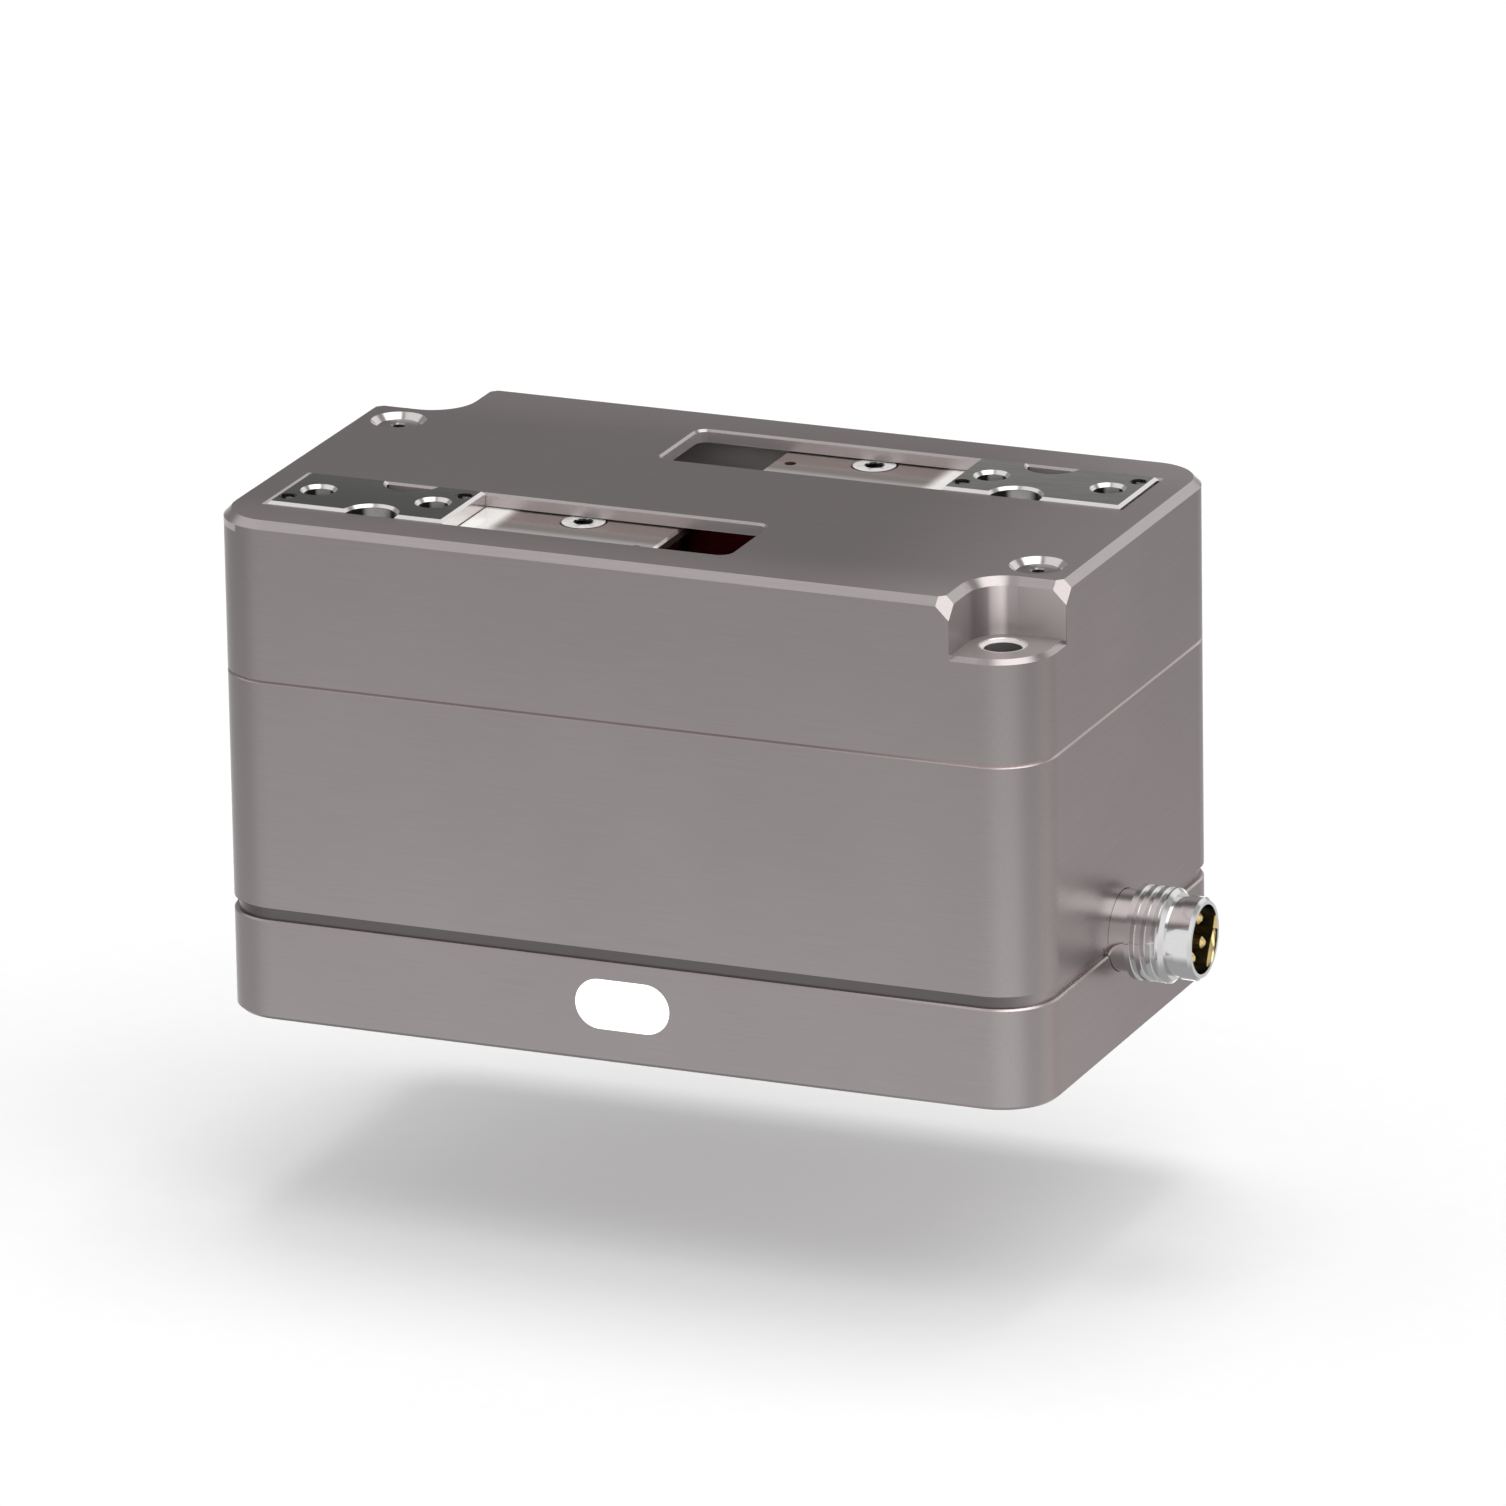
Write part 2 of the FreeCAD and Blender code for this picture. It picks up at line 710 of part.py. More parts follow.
slots = []
for index, (sx, sy) in enumerate((("", "-"), ("-", ""))):
    name = "slot%d" % index
    middle = "(slot_inner - slot_outer) / 2"
    rounded = rounded_block(name, "slot_outer + slot_inner", "slot_width", "slot_corner",
                            "height - skin - over", "height + over")
    move(rounded, "%s(%s)" % (sx, middle), "%sslot_y" % sy, "0")
    outer_half = beyond("-" if sx == "" else "", "slot_outer - slot_width", "slot_outer")
    slots.append(join(name + "_cut", [rounded, box(name + "_end", outer_half,
                 ("%sslot_y - slot_width / 2" % sy, "%sslot_y + slot_width / 2" % sy),
                 ("height - skin - over", "height + over"))]))

blocks = []
for index, (sx, sy) in enumerate((("", "-"), ("-", ""))):
    blocks.append(box("block%d" % index, beyond(sx, "block_x", "width"), beyond(sy, "block_y", "depth"),
                      ("seam_height - over", "height")))
for index, (sx, sy) in enumerate((("-", "-"), ("", ""))):
    blocks.append(box("boss%d" % index, beyond(sx, "boss_x", "width"), beyond(sy, "boss_y", "depth"),
                      ("seam_height - over", "seam_height + boss_height")))
upper_room = cut("upper_room", box("upper_room_box", ("-(%s)" % inside_x, inside_x),
                 ("-(%s)" % inside_y, inside_y), ("seam_height - over", "height - skin")), blocks)
upper_hollow = cut("upper_hollow", upper_notched, [upper_room] + slots)


def is_notch_floor(edge):
    level = size["height"] - size["notch_depth"]
    if not at_height(level)(edge):
        return False
    middle = edge.valueAt((edge.FirstParameter + edge.LastParameter) / 2)
    on_side = abs(abs(middle.x) - size["width"] / 2) < 1e-3
    on_front = abs(abs(middle.y) - size["depth"] / 2) < 1e-3
    centre = Vector(size["width"] / 2 - size["corner_radius"], size["depth"] / 2 - size["corner_radius"], 0)
    corner = Vector(abs(middle.x), abs(middle.y), 0) - centre
    return on_side or on_front or abs(corner.Length - size["corner_radius"]) < 1e-3


def is_slot_edge(edge):
    middle = edge.valueAt((edge.FirstParameter + edge.LastParameter) / 2)
    inside = abs(abs(middle.y) - size["slot_y"]) < size["slot_width"] / 2 + 0.01
    return at_height(size["height"])(edge) and inside and abs(middle.x) < size["slot_outer"] + 0.01


def is_rim_edge(edge):
    return at_height(size["height"])(edge) and not is_slot_edge(edge)


upper_edged = chamfer("upper_edged", upper_hollow, [(is_notch_floor, size["notch_floor_chamfer"]),
                                                    (is_slot_edge, size["slot_chamfer"]),
                                                    (is_rim_edge, size["top_chamfer"])])

upper_tools = []
for index, (sx, sy) in enumerate(((1, -1), (-1, 1))):
    for which in ("x", "y"):
        x = size["width"] / 2 - (size["notch_x"] if which == "x" else 0)
        y = size["depth"] / 2 - (size["notch_y"] if which == "y" else 0)
        normal = Vector(sx, sy, 1).normalize()
        corner = Vector(sx * x, sy * y, size["height"])
        facet = doc.addObject("Part::Cylinder", "facet%d%s" % (index, which))
        bind(facet, "Radius", "notch_facet * 1.6")
        bind(facet, "Height", "notch_facet * 2")
        facet.Placement = Placement(corner - normal * size["notch_facet"] / math.sqrt(3),
                                    Rotation(Vector(0, 0, 1), normal))
        upper_tools.append(facet)
for index, centre in enumerate(mount_corners):
    upper_tools.append(rod("upper_bore%d" % index, "bore_radius", centre, "seam_height - over", "height"))
    upper_tools.append(cone("upper_bore_sink%d" % index, "bore_radius", "bore_radius + bore_chamfer",
                            centre,
                            "height - notch_depth - bore_chamfer", "height - notch_depth"))
for index, centre in enumerate(cover_corners):
    upper_tools += sunk_hole("upper_cover_hole%d" % index, "cover_screw", centre, "upper_height + over",
                              "height - cover_screw_recess")
    upper_tools.append(cone("upper_cover_dish%d" % index, "cover_screw_head + head_gap",
                            "cover_screw_head + head_gap + cover_screw_recess + over", centre,
                            "height - cover_screw_recess", "height + over"))
for index, centre in enumerate(screw_corners):
    upper_tools.append(rod("upper_thread%d" % index, "long_screw_radius + screw_gap", centre,
                           "seam_height - over", "seam_height + boss_height - thread_spare"))
keep(cut("upper", upper_edged, upper_tools), "upper_housing")

# Middle housing with the deck that carries the guide rails

middle = rounded_block("middle_outer", "width", "depth", "corner_radius", "base_height", "seam_height")
rim_chamfer(middle, "middle_seam_chamfer", "seam_chamfer", size["seam_height"])


def corner_posts(name, start, end):
    posts = []
    for index, (sx, sy) in enumerate((("", ""), ("", "-"), ("-", ""), ("-", "-"))):
        near_cover = (sx, sy) in (("", "-"), ("-", ""))
        posts.append(box("%s%d" % (name, index), beyond(sx, "post_x", "width"),
                         beyond(sy, "block_y" if near_cover else "post_y", "depth"), (start, end)))
    return posts


pillar_centres = [("-pillar_outer_x", "pillar_y"), ("-pillar_inner_x", "-pillar_y"),
                  ("pillar_right_x", "pillar_y"), ("pillar_right_x", "-pillar_y")]
pillars = [rod("pillar%d" % index, "pillar_radius", centre, "plate_top", "seam_height")
           for index, centre in enumerate(pillar_centres)]
middle_room = cut("middle_room", box("middle_room_box", ("-(%s)" % inside_x, inside_x),
                  ("-(%s)" % inside_y, inside_y), ("base_height - over", "seam_height - deck")),
                  corner_posts("middle_post", "base_height - over", "seam_height") + pillars)

rail_screw_spots = ["-rail_screw_outer", "-rail_screw_mid", "rail_screw_inner"]
rail_screw_centres = [(spot, "-slot_y") for spot in rail_screw_spots]
rail_screw_centres += [("-(%s)" % spot, "slot_y") for spot in rail_screw_spots]
bridge_screw_centres = [("bridge_screw_x", "0"), ("-bridge_screw_x", "0")]


def plug_opening(name):
    """The split opening that the connector is clamped in."""
    axis = ("plug_y", "plug_z")
    return [rod(name + "_bore", "plug_collar_radius + plug_gap", axis, "width / 2 - wall - over",
                "width / 2 + over", "x"),
            rod(name + "_groove", "plug_flange_radius + plug_gap", axis,
                "width / 2 - plug_flange_start - plug_flange_width - plug_gap",
                "width / 2 - plug_flange_start + plug_gap", "x")]


middle_tools = [middle_room, rod("deck_hole", "deck_hole_radius", zero, "seam_height - deck - over",
                                 "seam_height + over"),
                rod("idler_pin_hole", "idler_pin_radius + press_gap", idler_centre,
                    "seam_height - deck - over",
                    "idler_pin_top")]
for index, centre in enumerate(rail_screw_centres + bridge_screw_centres):
    middle_tools.append(rod("deck_thread%d" % index, "small_screw_radius + screw_gap", centre,
                            "seam_height - deck - over", "seam_height + over"))
for index, centre in enumerate(pillar_centres):
    middle_tools.append(rod("pillar_thread%d" % index, "small_screw_radius + screw_gap", centre,
                            "plate_top - over", "plate_top + plate_screw_length"))
for index, centre in enumerate(mount_corners):
    middle_tools.append(rod("middle_bore%d" % index, "bore_radius", centre, "base_height - over",
                            "seam_height + over"))
for index, centre in enumerate(screw_corners):
    middle_tools.append(rod("middle_clear%d" % index, "long_screw_radius + screw_gap", centre,
                            "base_height - over", "seam_height + over"))
for index, centre in enumerate(cover_corners):
    middle_tools.append(rod("middle_thread%d" % index, "cover_screw_radius + screw_gap", centre,
                            "height - cover_screw_recess - cover_screw_length - thread_spare",
                            "seam_height + over"))
keep(cut("middle_hollow", middle, middle_tools + plug_opening("middle_plug")), "middle_housing")

# Base housing

base = rounded_block("base_outer", "width", "depth", "corner_radius", "0", "shoulder_height")
rim_chamfer(base, "base_shoulder_chamfer", "shoulder_chamfer", size["shoulder_height"])
rim_chamfer(base, "base_foot_chamfer", "foot_chamfer", 0.0)
collar = rounded_block("base_collar", "width - 2 * groove_depth", "depth - 2 * groove_depth",
                       "corner_radius - groove_depth", "shoulder_height", "base_height")

standoff_centres = [("standoff_x", "-standoff_front"), ("-standoff_x", "-standoff_front"),
                    ("standoff_x", "standoff_back"), ("-standoff_x", "standoff_back")]
pin_centres = [("pin_hole_x", "0"), ("-pin_hole_x", "0")]
base_solids = corner_posts("base_post", "floor - over", "base_height + over")
base_solids += [rod("standoff%d" % index, "standoff_radius", centre, "floor - over", "board_bottom")
                for index, centre in enumerate(standoff_centres)]
base_solids += [rod("pin_boss%d" % index, "pin_boss_radius", centre, "floor - over", "pin_boss_top")
                for index, centre in enumerate(pin_centres)]
base_room = cut("base_room", box("base_room_box", ("-(%s)" % inside_x, inside_x),
                ("-(%s)" % inside_y, inside_y), ("floor", "base_height + over")), base_solids)


def pill(name, grow, start, end):
    """A window shape with round ends, along Y."""
    half = "(window_length - window_height) / 2"
    radius = "window_height / 2 + (%s)" % grow
    low, high = "window_z - window_height / 2 - (%s)" % grow, "window_z + window_height / 2 + (%s)" % grow
    return [box(name + "_middle", ("-" + half, half), (start, end), (low, high)),
            rod(name + "_right", radius, (half, "window_z"), start, end, "y"),
            rod(name + "_left", radius, ("-" + half, "window_z"), start, end, "y")]


base_tools = [base_room] + pill("window_hole", "window_gap", "-depth / 2 - over", "-depth / 2 + wall + over")
for index, centre in enumerate(mount_corners):
    base_tools.append(rod("base_bore%d" % index, "bore_radius", centre, "-over", "base_height + over"))
    base_tools.append(cone("base_bore_sink%d" % index, "bore_radius + bore_chamfer", "bore_radius", centre,
                           "0", "bore_chamfer"))
for index, centre in enumerate(screw_corners):
    base_tools.append(rod("base_clear%d" % index, "long_screw_radius + screw_gap", centre, "-over",
                          "base_height + over"))
    base_tools.append(rod("base_counterbore%d" % index, "long_screw_head + head_gap", centre, "-over",
                          "long_screw_recess + long_screw_head_height"))
for index, centre in enumerate(pin_centres):
    base_tools.append(rod("base_pin%d" % index, "pin_hole_radius", centre, "-over", "pin_hole_depth"))
for index, centre in enumerate(standoff_centres):
    base_tools.append(rod("base_thread%d" % index, "small_screw_radius + screw_gap", centre,
                          "floor - over", "board_bottom + over"))
base_solid = join("base_solid", [base, collar])
keep(cut("base_hollow", base_solid, base_tools + plug_opening("base_plug")), "base_housing")

# Status window and its board

window_inner = "-depth / 2 + wall"
window = pill("window", "0", "-depth / 2", window_inner)
window += pill("window_rim", "window_flange", window_inner, window_inner + " + window_flange_depth")
keep(join("window_solid", window), "status_window")

lamp_front = window_inner + " + window_flange_depth"
status_front = lamp_front + " + lamp_depth"
status = [box("status_plate", ("-status_board_half", "status_board_half"),
              (status_front, status_front + " + status_board_thickness"), ("floor", "status_board_top"))]
for index, side in enumerate(("-1", "0", "1")):
    status.append(box("lamp%d" % index, ("%s * lamp_pitch - lamp_size / 2" % side,
                                         "%s * lamp_pitch + lamp_size / 2" % side),
                      (lamp_front, status_front), ("window_z - lamp_size / 2", "window_z + lamp_size / 2")))
keep(join("status_solid", status), "status_board")

# Control board with its components

board = box("board_plate", ("-board_half_length", "board_half_length"), ("-board_front", "board_back"),
            ("board_bottom", "board_top"))
board_holes = [rod("board_hole%d" % index, "small_screw_radius + screw_gap", centre, "board_bottom - over",
                   "board_top + over") for index, centre in enumerate(standoff_centres)]
keep(cut("board_drilled", board, board_holes), "control_board")

# Each component by the middle of its place on the board, then length, width and height
COMPONENTS = {
    "processor": (-4.0, 4.0, 7.0, 7.0, 1.0),
    "driver": (8.0, -4.0, 5.0, 5.0, 0.9),
    "regulator": (17.0, 7.0, 4.0, 3.6, 1.4),
    "inductor": (21.0, -2.0, 5.0, 5.0, 2.4),
    "socket": (14.0, 13.4, 9.0, 3.0, 3.0),
    "memory": (-14.0, 12.0, 4.0, 3.0, 0.9),
    "bridge_chip": (12.0, -11.0, 6.0, 5.0, 0.9),
}
components = []
for name, (x, y, long_side, short_side, tall) in COMPONENTS.items():
    components.append(box("chip_" + name, ("%g" % (x - long_side / 2), "%g" % (x + long_side / 2)),
                          ("%g" % (y - short_side / 2), "%g" % (y + short_side / 2)),
                          ("board_top", "board_top + %g" % tall)))
keep(group("board_chips", components), "board_components")

board_screws = [screw("board_screw%d" % index, "small_screw", "board_screw_length",
                      (centre[0], centre[1], "board_top + small_screw_head_height"), conical=False)
                for index, centre in enumerate(standoff_centres)]
keep(group("board_screw_group", board_screws), "board_screws")

strip_screw_spots = ("-strip_screw_far", "-strip_screw_near")
rack_screw_spots = ("-rack_screw_outer", "-rack_screw_inner")

# Guide rails

rail_foot_top = "seam_height + rail_foot_height"
rail_neck_top = rail_foot_top + " + rail_neck_height"
rail_top = rail_neck_top + " + rail_head_height"


def rail(side):
    x = ("-rail_outer", "rail_inner")
    layers = (("foot", "rail_foot_width", "seam_height", rail_foot_top),
              ("neck", "rail_neck_width", rail_foot_top, rail_neck_top),
              ("head", "rail_head_width", rail_neck_top, rail_top))
    solids = [box("%s_rail_%s" % (side, part), x, ("-slot_y - %s / 2" % wide, "-slot_y + %s / 2" % wide),
                  (low, high)) for part, wide, low, high in layers]
    holes = []
    for index, spot in enumerate(rail_screw_spots):
        holes += sunk_hole("%s_rail_hole%d" % (side, index), "small_screw", (spot, "-slot_y"),
                           "rail_foot_height + rail_neck_height + rail_head_height + over", rail_top)
    return cut(side + "_rail_drilled", join(side + "_rail_solid", solids), holes)


# Jaws, each one piece: the finger plate on top of the guided block

def jaw(side):
    left, right = "-jaw_x - jaw_length / 2", "-jaw_x + jaw_length / 2"
    front, back = "-slot_y - jaw_width / 2", "-slot_y + jaw_width / 2"
    plate = box(side + "_plate", (left, right), (front, back), ("carriage_top - over", "jaw_top"))
    scallops = [rod("%s_scallop%d" % (side, index), "scallop_radius", ("-jaw_x + scallop_shift", edge),
                    "carriage_top", "jaw_top + over") for index, edge in enumerate((front, back))]
    holes = []
    for index, sx in enumerate(("-", "+")):
        centre = ("-jaw_x %s finger_hole_pitch / 2" % sx, "-slot_y")
        holes.append(rod("%s_finger%d" % (side, index), "finger_hole_radius", centre,
                         "jaw_top - finger_hole_depth", "jaw_top + over"))
        holes.append(cone("%s_finger_sink%d" % (side, index), "finger_hole_radius",
                          "finger_hole_radius + finger_hole_chamfer", centre,
                          "jaw_top - finger_hole_chamfer", "jaw_top"))
        centre = ("-jaw_x %s dowel_hole_x" % sx, "-slot_y %s dowel_hole_y" % sx)
        holes.append(rod("%s_dowel%d" % (side, index), "dowel_hole_radius", centre,
                         "jaw_top - dowel_hole_depth", "jaw_top + over"))
    shaped = cut(side + "_plate_cut", plate, scallops)

    def is_top(edge):
        return at_height(size["jaw_top"])(edge)
    edged = chamfer(side + "_plate_edged", shaped, [(is_top, size["jaw_chamfer"])])
    block = box(side + "_block", ("-carriage_outer", "-carriage_inner"), ("-carriage_far",
                                                                          "-carriage_near"),
                ("carriage_bottom", "carriage_top"))
    x = ("-carriage_outer - over", "-carriage_inner + over")
    holes.append(box(side + "_neck_slot", x, ("-slot_y - rail_neck_width / 2 - rail_gap",
                                              "-slot_y + rail_neck_width / 2 + rail_gap"),
                     ("carriage_bottom - over", rail_top + " + rail_gap")))
    holes.append(box(side + "_head_slot", x, ("-slot_y - rail_head_width / 2 - rail_gap",
                                              "-slot_y + rail_head_width / 2 + rail_gap"),
                     (rail_neck_top + " - rail_gap", rail_top + " + rail_gap")))
    for index, spot in enumerate(strip_screw_spots):
        centre = ("-strip_screw_x", spot)
        holes.append(rod("%s_strip_thread%d" % (side, index), "strip_screw_radius + screw_gap", centre,
                         "carriage_top + strip_thickness - strip_screw_length - thread_spare",
                         "carriage_top + over"))
    for index, spot in enumerate(rack_screw_spots):
        holes.append(rod("%s_rack_thread%d" % (side, index), "fine_screw_radius + screw_gap",
                         (spot, "rack_screw_z"), "-rack_face - rack_screw_length - thread_spare",
                         "-carriage_near + over", "y"))
    return cut(side + "_jaw_cut", join(side + "_jaw_solid", [edged, block]), holes)


def rack(side):
    points = rack_points(-size["rack_outer"], size["rack_overrun"], -size["carriage_near"],
                         -size["pinion_pitch"], size["gear_module"])
    toothed = outline_block(side + "_rack_teeth", points, "rack_bottom", "rack_bottom + rack_tooth_height")
    plate = box(side + "_rack_plate", ("-rack_outer", "-carriage_inner"), ("-carriage_near", "-rack_face"),
                ("rack_bottom + rack_tooth_height", "rack_bottom + rack_height"))
    holes = []
    for index, spot in enumerate(rack_screw_spots):
        holes.append(rod("%s_rack_clear%d" % (side, index), "fine_screw_radius + screw_gap",
                         (spot, "rack_screw_z"), "-carriage_near - over", "-rack_face", "y"))
        holes.append(cone("%s_rack_sink%d" % (side, index), "fine_screw_radius + head_gap",
                          "fine_screw_head + head_gap", (spot, "rack_screw_z"),
                          "-rack_face - fine_screw_head_height", "-rack_face", "y"))
    return cut(side + "_rack_cut", join(side + "_rack_solid", [toothed, plate]), holes)


def rack_screws(side):
    turn = Rotation(Vector(1, 0, 0), -90)
    return group(side + "_rack_screw_group",
                 [screw("%s_rack_screw%d" % (side, index), "fine_screw", "rack_screw_length",
                        (spot, "-rack_face", "rack_screw_z"), turn)
                  for index, spot in enumerate(rack_screw_spots)])


# Slide covers, the polished strips seen through the slots

def strip(side):
    plate = box(side + "_strip_plate", ("-strip_outer", "-strip_inner"), ("-strip_far", "-strip_near"),
                ("carriage_top", "carriage_top + strip_thickness"))
    doc.recompute()

    def is_end(edge):
        return at_height(size["carriage_top"] + size["strip_thickness"])(edge) and \
            all(abs(v.X + size["strip_inner"]) < 1e-4 for v in edge.Vertexes)
    edged = chamfer(side + "_strip_edged", plate, [(is_end, size["strip_chamfer"])])
    tools = [box(side + "_strip_window", ("-strip_outer - over", "-jaw_x + jaw_length / 2 + strip_gap"),
                 ("-slot_y - jaw_width / 2 - strip_gap", "-slot_y + jaw_width / 2 + strip_gap"),
                 ("carriage_top - over", "carriage_top + strip_thickness + over")),
             rod(side + "_strip_pin", "strip_pin_radius", ("-strip_pin_x", "-slot_y - strip_pin_y"),
                 "carriage_top - over", "carriage_top + strip_thickness + over")]
    for index, spot in enumerate(strip_screw_spots):
        tools += sunk_hole("%s_strip_hole%d" % (side, index), "strip_screw",
                           ("-strip_screw_x", spot), "strip_thickness + over",
                           "(carriage_top + strip_thickness)")
    return cut(side + "_strip_cut", edged, tools)


def strip_screws(side):
    return group(side + "_strip_screw_group",
                 [screw("%s_strip_screw%d" % (side, index), "strip_screw", "strip_screw_length",
                        ("-strip_screw_x", spot, "carriage_top + strip_thickness"))
                  for index, spot in enumerate(strip_screw_spots)])


for side, finish in (("front", lambda item: item), ("rear", half_turn)):
    keep(finish(rail(side)), side + "_guide_rail")
    keep(finish(jaw(side)), side + "_jaw")
    keep(finish(rack(side)), side + "_rack")
    keep(finish(rack_screws(side)), side + "_rack_screws")
    keep(finish(strip(side)), side + "_slide_cover")
    keep(finish(strip_screws(side)), side + "_slide_cover_screws")

# Bearing bridge over the pinion

leg_x = ("bridge_half_length - bridge_leg_length", "bridge_half_length")
bridge = [box("bridge_beam", ("-bridge_half_length", "bridge_half_length"),
              ("-bridge_half_width", "bridge_half_width"), ("bridge_underside", "bridge_top"))]
for index, sx in enumerate(signs):
    bridge.append(box("bridge_leg%d" % index, beyond(sx, *leg_x),
                      ("-bridge_leg_half_width", "bridge_leg_half_width"),
                      ("seam_height", "bridge_underside")))
bridge_tools = [rod("bridge_seat", "bearing_radius + press_gap", zero, "shaft_top - bearing_width",
                    "bridge_top + over"),
                rod("bridge_lip", "bearing_lip", zero, "bridge_underside - over", "bridge_top")]
for index, centre in enumerate(bridge_screw_centres):
    bridge_tools += sunk_hole("bridge_hole%d" % index, "small_screw", centre,
                              "bridge_top - seam_height + over", "bridge_top")
keep(cut("bridge_cut", join("bridge_solid", bridge), bridge_tools), "bearing_bridge")


def bearing(name, bottom):
    """A small sealed bearing as one ring, with a shallow recess in each face."""
    top = "%s + bearing_width" % bottom
    ring = rod(name + "_ring", "bearing_radius", zero, bottom, top)
    tools = [rod(name + "_bore", "shaft_radius + running_gap", zero, bottom + " - over", top + " + over")]
    for index, (low, high) in enumerate(((bottom + " - over", bottom + " + bearing_recess"),
                                      (top + " - bearing_recess", top + " + over"))):
        tools.append(cut("%s_recess%d" % (name, index), rod("%s_wide%d" % (name, index),
                         "bearing_radius - bearing_rim", zero, low, high),
                         [rod("%s_narrow%d" % (name, index), "shaft_radius + bearing_rim", zero, low,
                              high)]))
    return cut(name + "_cut", ring, tools)


keep(bearing("upper_ball", "(shaft_top - bearing_width)"), "upper_bearing")
keep(bearing("lower_ball", "bearing_bottom"), "lower_bearing")

# Pinion shaft, pinion and drive gear

keep(rod("pinion_shaft_rod", "shaft_radius", zero, "bearing_bottom", "shaft_top"), "pinion_shaft")

pinion = outline_block("pinion_teeth", gear_points(PINION_TEETH, size["gear_module"], math.radians(-90)),
                       "pinion_bottom", "pinion_bottom + pinion_thickness")
keep(cut("pinion_cut", pinion, [rod("pinion_hole", "shaft_radius + press_gap", zero, "pinion_bottom - over",
                                    "pinion_bottom + pinion_thickness + over")]), "jaw_pinion")

drive = outline_block("drive_teeth", gear_points(DRIVE_TEETH, coarse_tooth,
                                                 idler_turn + math.pi / DRIVE_TEETH),
                      "drive_gear_bottom", "drive_gear_top")
drive_hub = rod("drive_hub", "drive_hub_radius", zero, "drive_gear_top - over",
                "drive_gear_top + drive_hub_height")
keep(cut("drive_cut", join("drive_solid", [drive, drive_hub]),
         [rod("drive_hole", "shaft_radius + press_gap", zero, "drive_gear_bottom - over",
              "drive_gear_top + drive_hub_height + over")]), "drive_gear")

# Idler gear on its fixed pin

idler_middle = "idler_bottom + idler_large_thickness"
idler_top = idler_middle + " + idler_small_thickness"
idler_large = outline_block("idler_large_teeth", gear_points(IDLER_LARGE_TEETH, fine_tooth,
                                                             motor_turn + math.pi / IDLER_LARGE_TEETH),
                            "idler_bottom", idler_middle)
idler_small = outline_block("idler_small_teeth", gear_points(IDLER_SMALL_TEETH, coarse_tooth,
                                                             idler_turn + math.pi),
                            idler_middle, idler_top)
idler = cut("idler_cut", join("idler_solid", [idler_large, idler_small]),
            [rod("idler_hole", "idler_pin_radius + running_gap", zero, "idler_bottom - over",
                 idler_top + " + over")])
idler.Placement = Placement(idler_at, Rotation())
keep(idler, "idler_gear")
keep(rod("idler_pin_rod", "idler_pin_radius", idler_centre, "plate_bottom", "idler_pin_top"), "idler_pin")

# Motor with its pinion

motor_pinion = cut("motor_pinion_cut", outline_block("motor_teeth", gear_points(
    MOTOR_TEETH, fine_tooth, motor_turn + math.pi), "motor_pinion_bottom",
    "motor_pinion_bottom + motor_pinion_thickness"),
    [rod("motor_pinion_hole", "motor_shaft_radius + press_gap", zero, "motor_pinion_bottom - over",
         "motor_pinion_bottom + motor_pinion_thickness + over")])
motor_pinion.Placement = Placement(motor_at, Rotation())
keep(motor_pinion, "motor_pinion")
keep(rod("motor_shaft_rod", "motor_shaft_radius", motor_centre, "motor_shaft_bottom", "motor_shaft_top"),
     "motor_shaft")

can = rod("motor_can", "motor_radius", motor_centre, "motor_bottom", "plate_bottom")
can_edged = chamfer("motor_can_edged", can, [(at_height(size["motor_bottom"]),
                                              size["motor_chamfer"])])
pilot = rod("motor_pilot", "motor_pilot_radius", motor_centre, "plate_bottom - over",
            "plate_bottom + motor_pilot_height")
motor_screw_centres = [("motor_x %s motor_screw_pitch / 2" % sx, "motor_y") for sx in ("-", "+")]
motor_tools = [rod("motor_bore", "motor_shaft_radius + running_gap", motor_centre, "motor_shaft_bottom",
                   "plate_bottom + motor_pilot_height + over")]
for index, centre in enumerate(motor_screw_centres):
    motor_tools.append(rod("motor_thread%d" % index, "fine_screw_radius + screw_gap", centre,
                           "plate_top - motor_screw_length - thread_spare", "plate_bottom + over"))
keep(cut("motor_cut", join("motor_solid", [can_edged, pilot]), motor_tools), "motor_body")
keep(group("motor_screw_group", [screw("motor_screw%d" % index, "fine_screw", "motor_screw_length",
                                       (centre[0], centre[1], "plate_top"))
                                 for index, centre in enumerate(motor_screw_centres)]), "motor_screws")
keep(rod("encoder_disc", "encoder_radius", motor_centre, "motor_bottom - encoder_thickness",
         "motor_bottom"),
     "encoder_board")

# Gear plate between the motor and the gears

plate = box("gear_plate_box", ("-plate_left", "plate_right"), ("-plate_half_width", "plate_half_width"),
            ("plate_bottom", "plate_top"))
plate_tools = [rod("plate_seat", "bearing_radius + press_gap", zero, "bearing_bottom", "plate_top + over"),
               rod("plate_lip", "bearing_lip", zero, "plate_bottom - over", "plate_top"),
               rod("plate_idler", "idler_pin_radius + press_gap", idler_centre, "plate_bottom - over",
                   "plate_top + over"),
               rod("plate_pilot", "motor_pilot_radius + press_gap", motor_centre, "plate_bottom - over",
                   "plate_top + over")]
for index, centre in enumerate(motor_screw_centres):
    plate_tools += sunk_hole("plate_motor_hole%d" % index, "fine_screw", centre,
                             "plate_thickness + over", "plate_top")
for index, centre in enumerate(pillar_centres):
    plate_tools.append(rod("plate_clear%d" % index, "small_screw_radius + screw_gap", centre,
                           "plate_bottom - over", "plate_top + over"))
keep(cut("plate_cut", plate, plate_tools), "gear_plate")
upward = Rotation(Vector(1, 0, 0), 180)
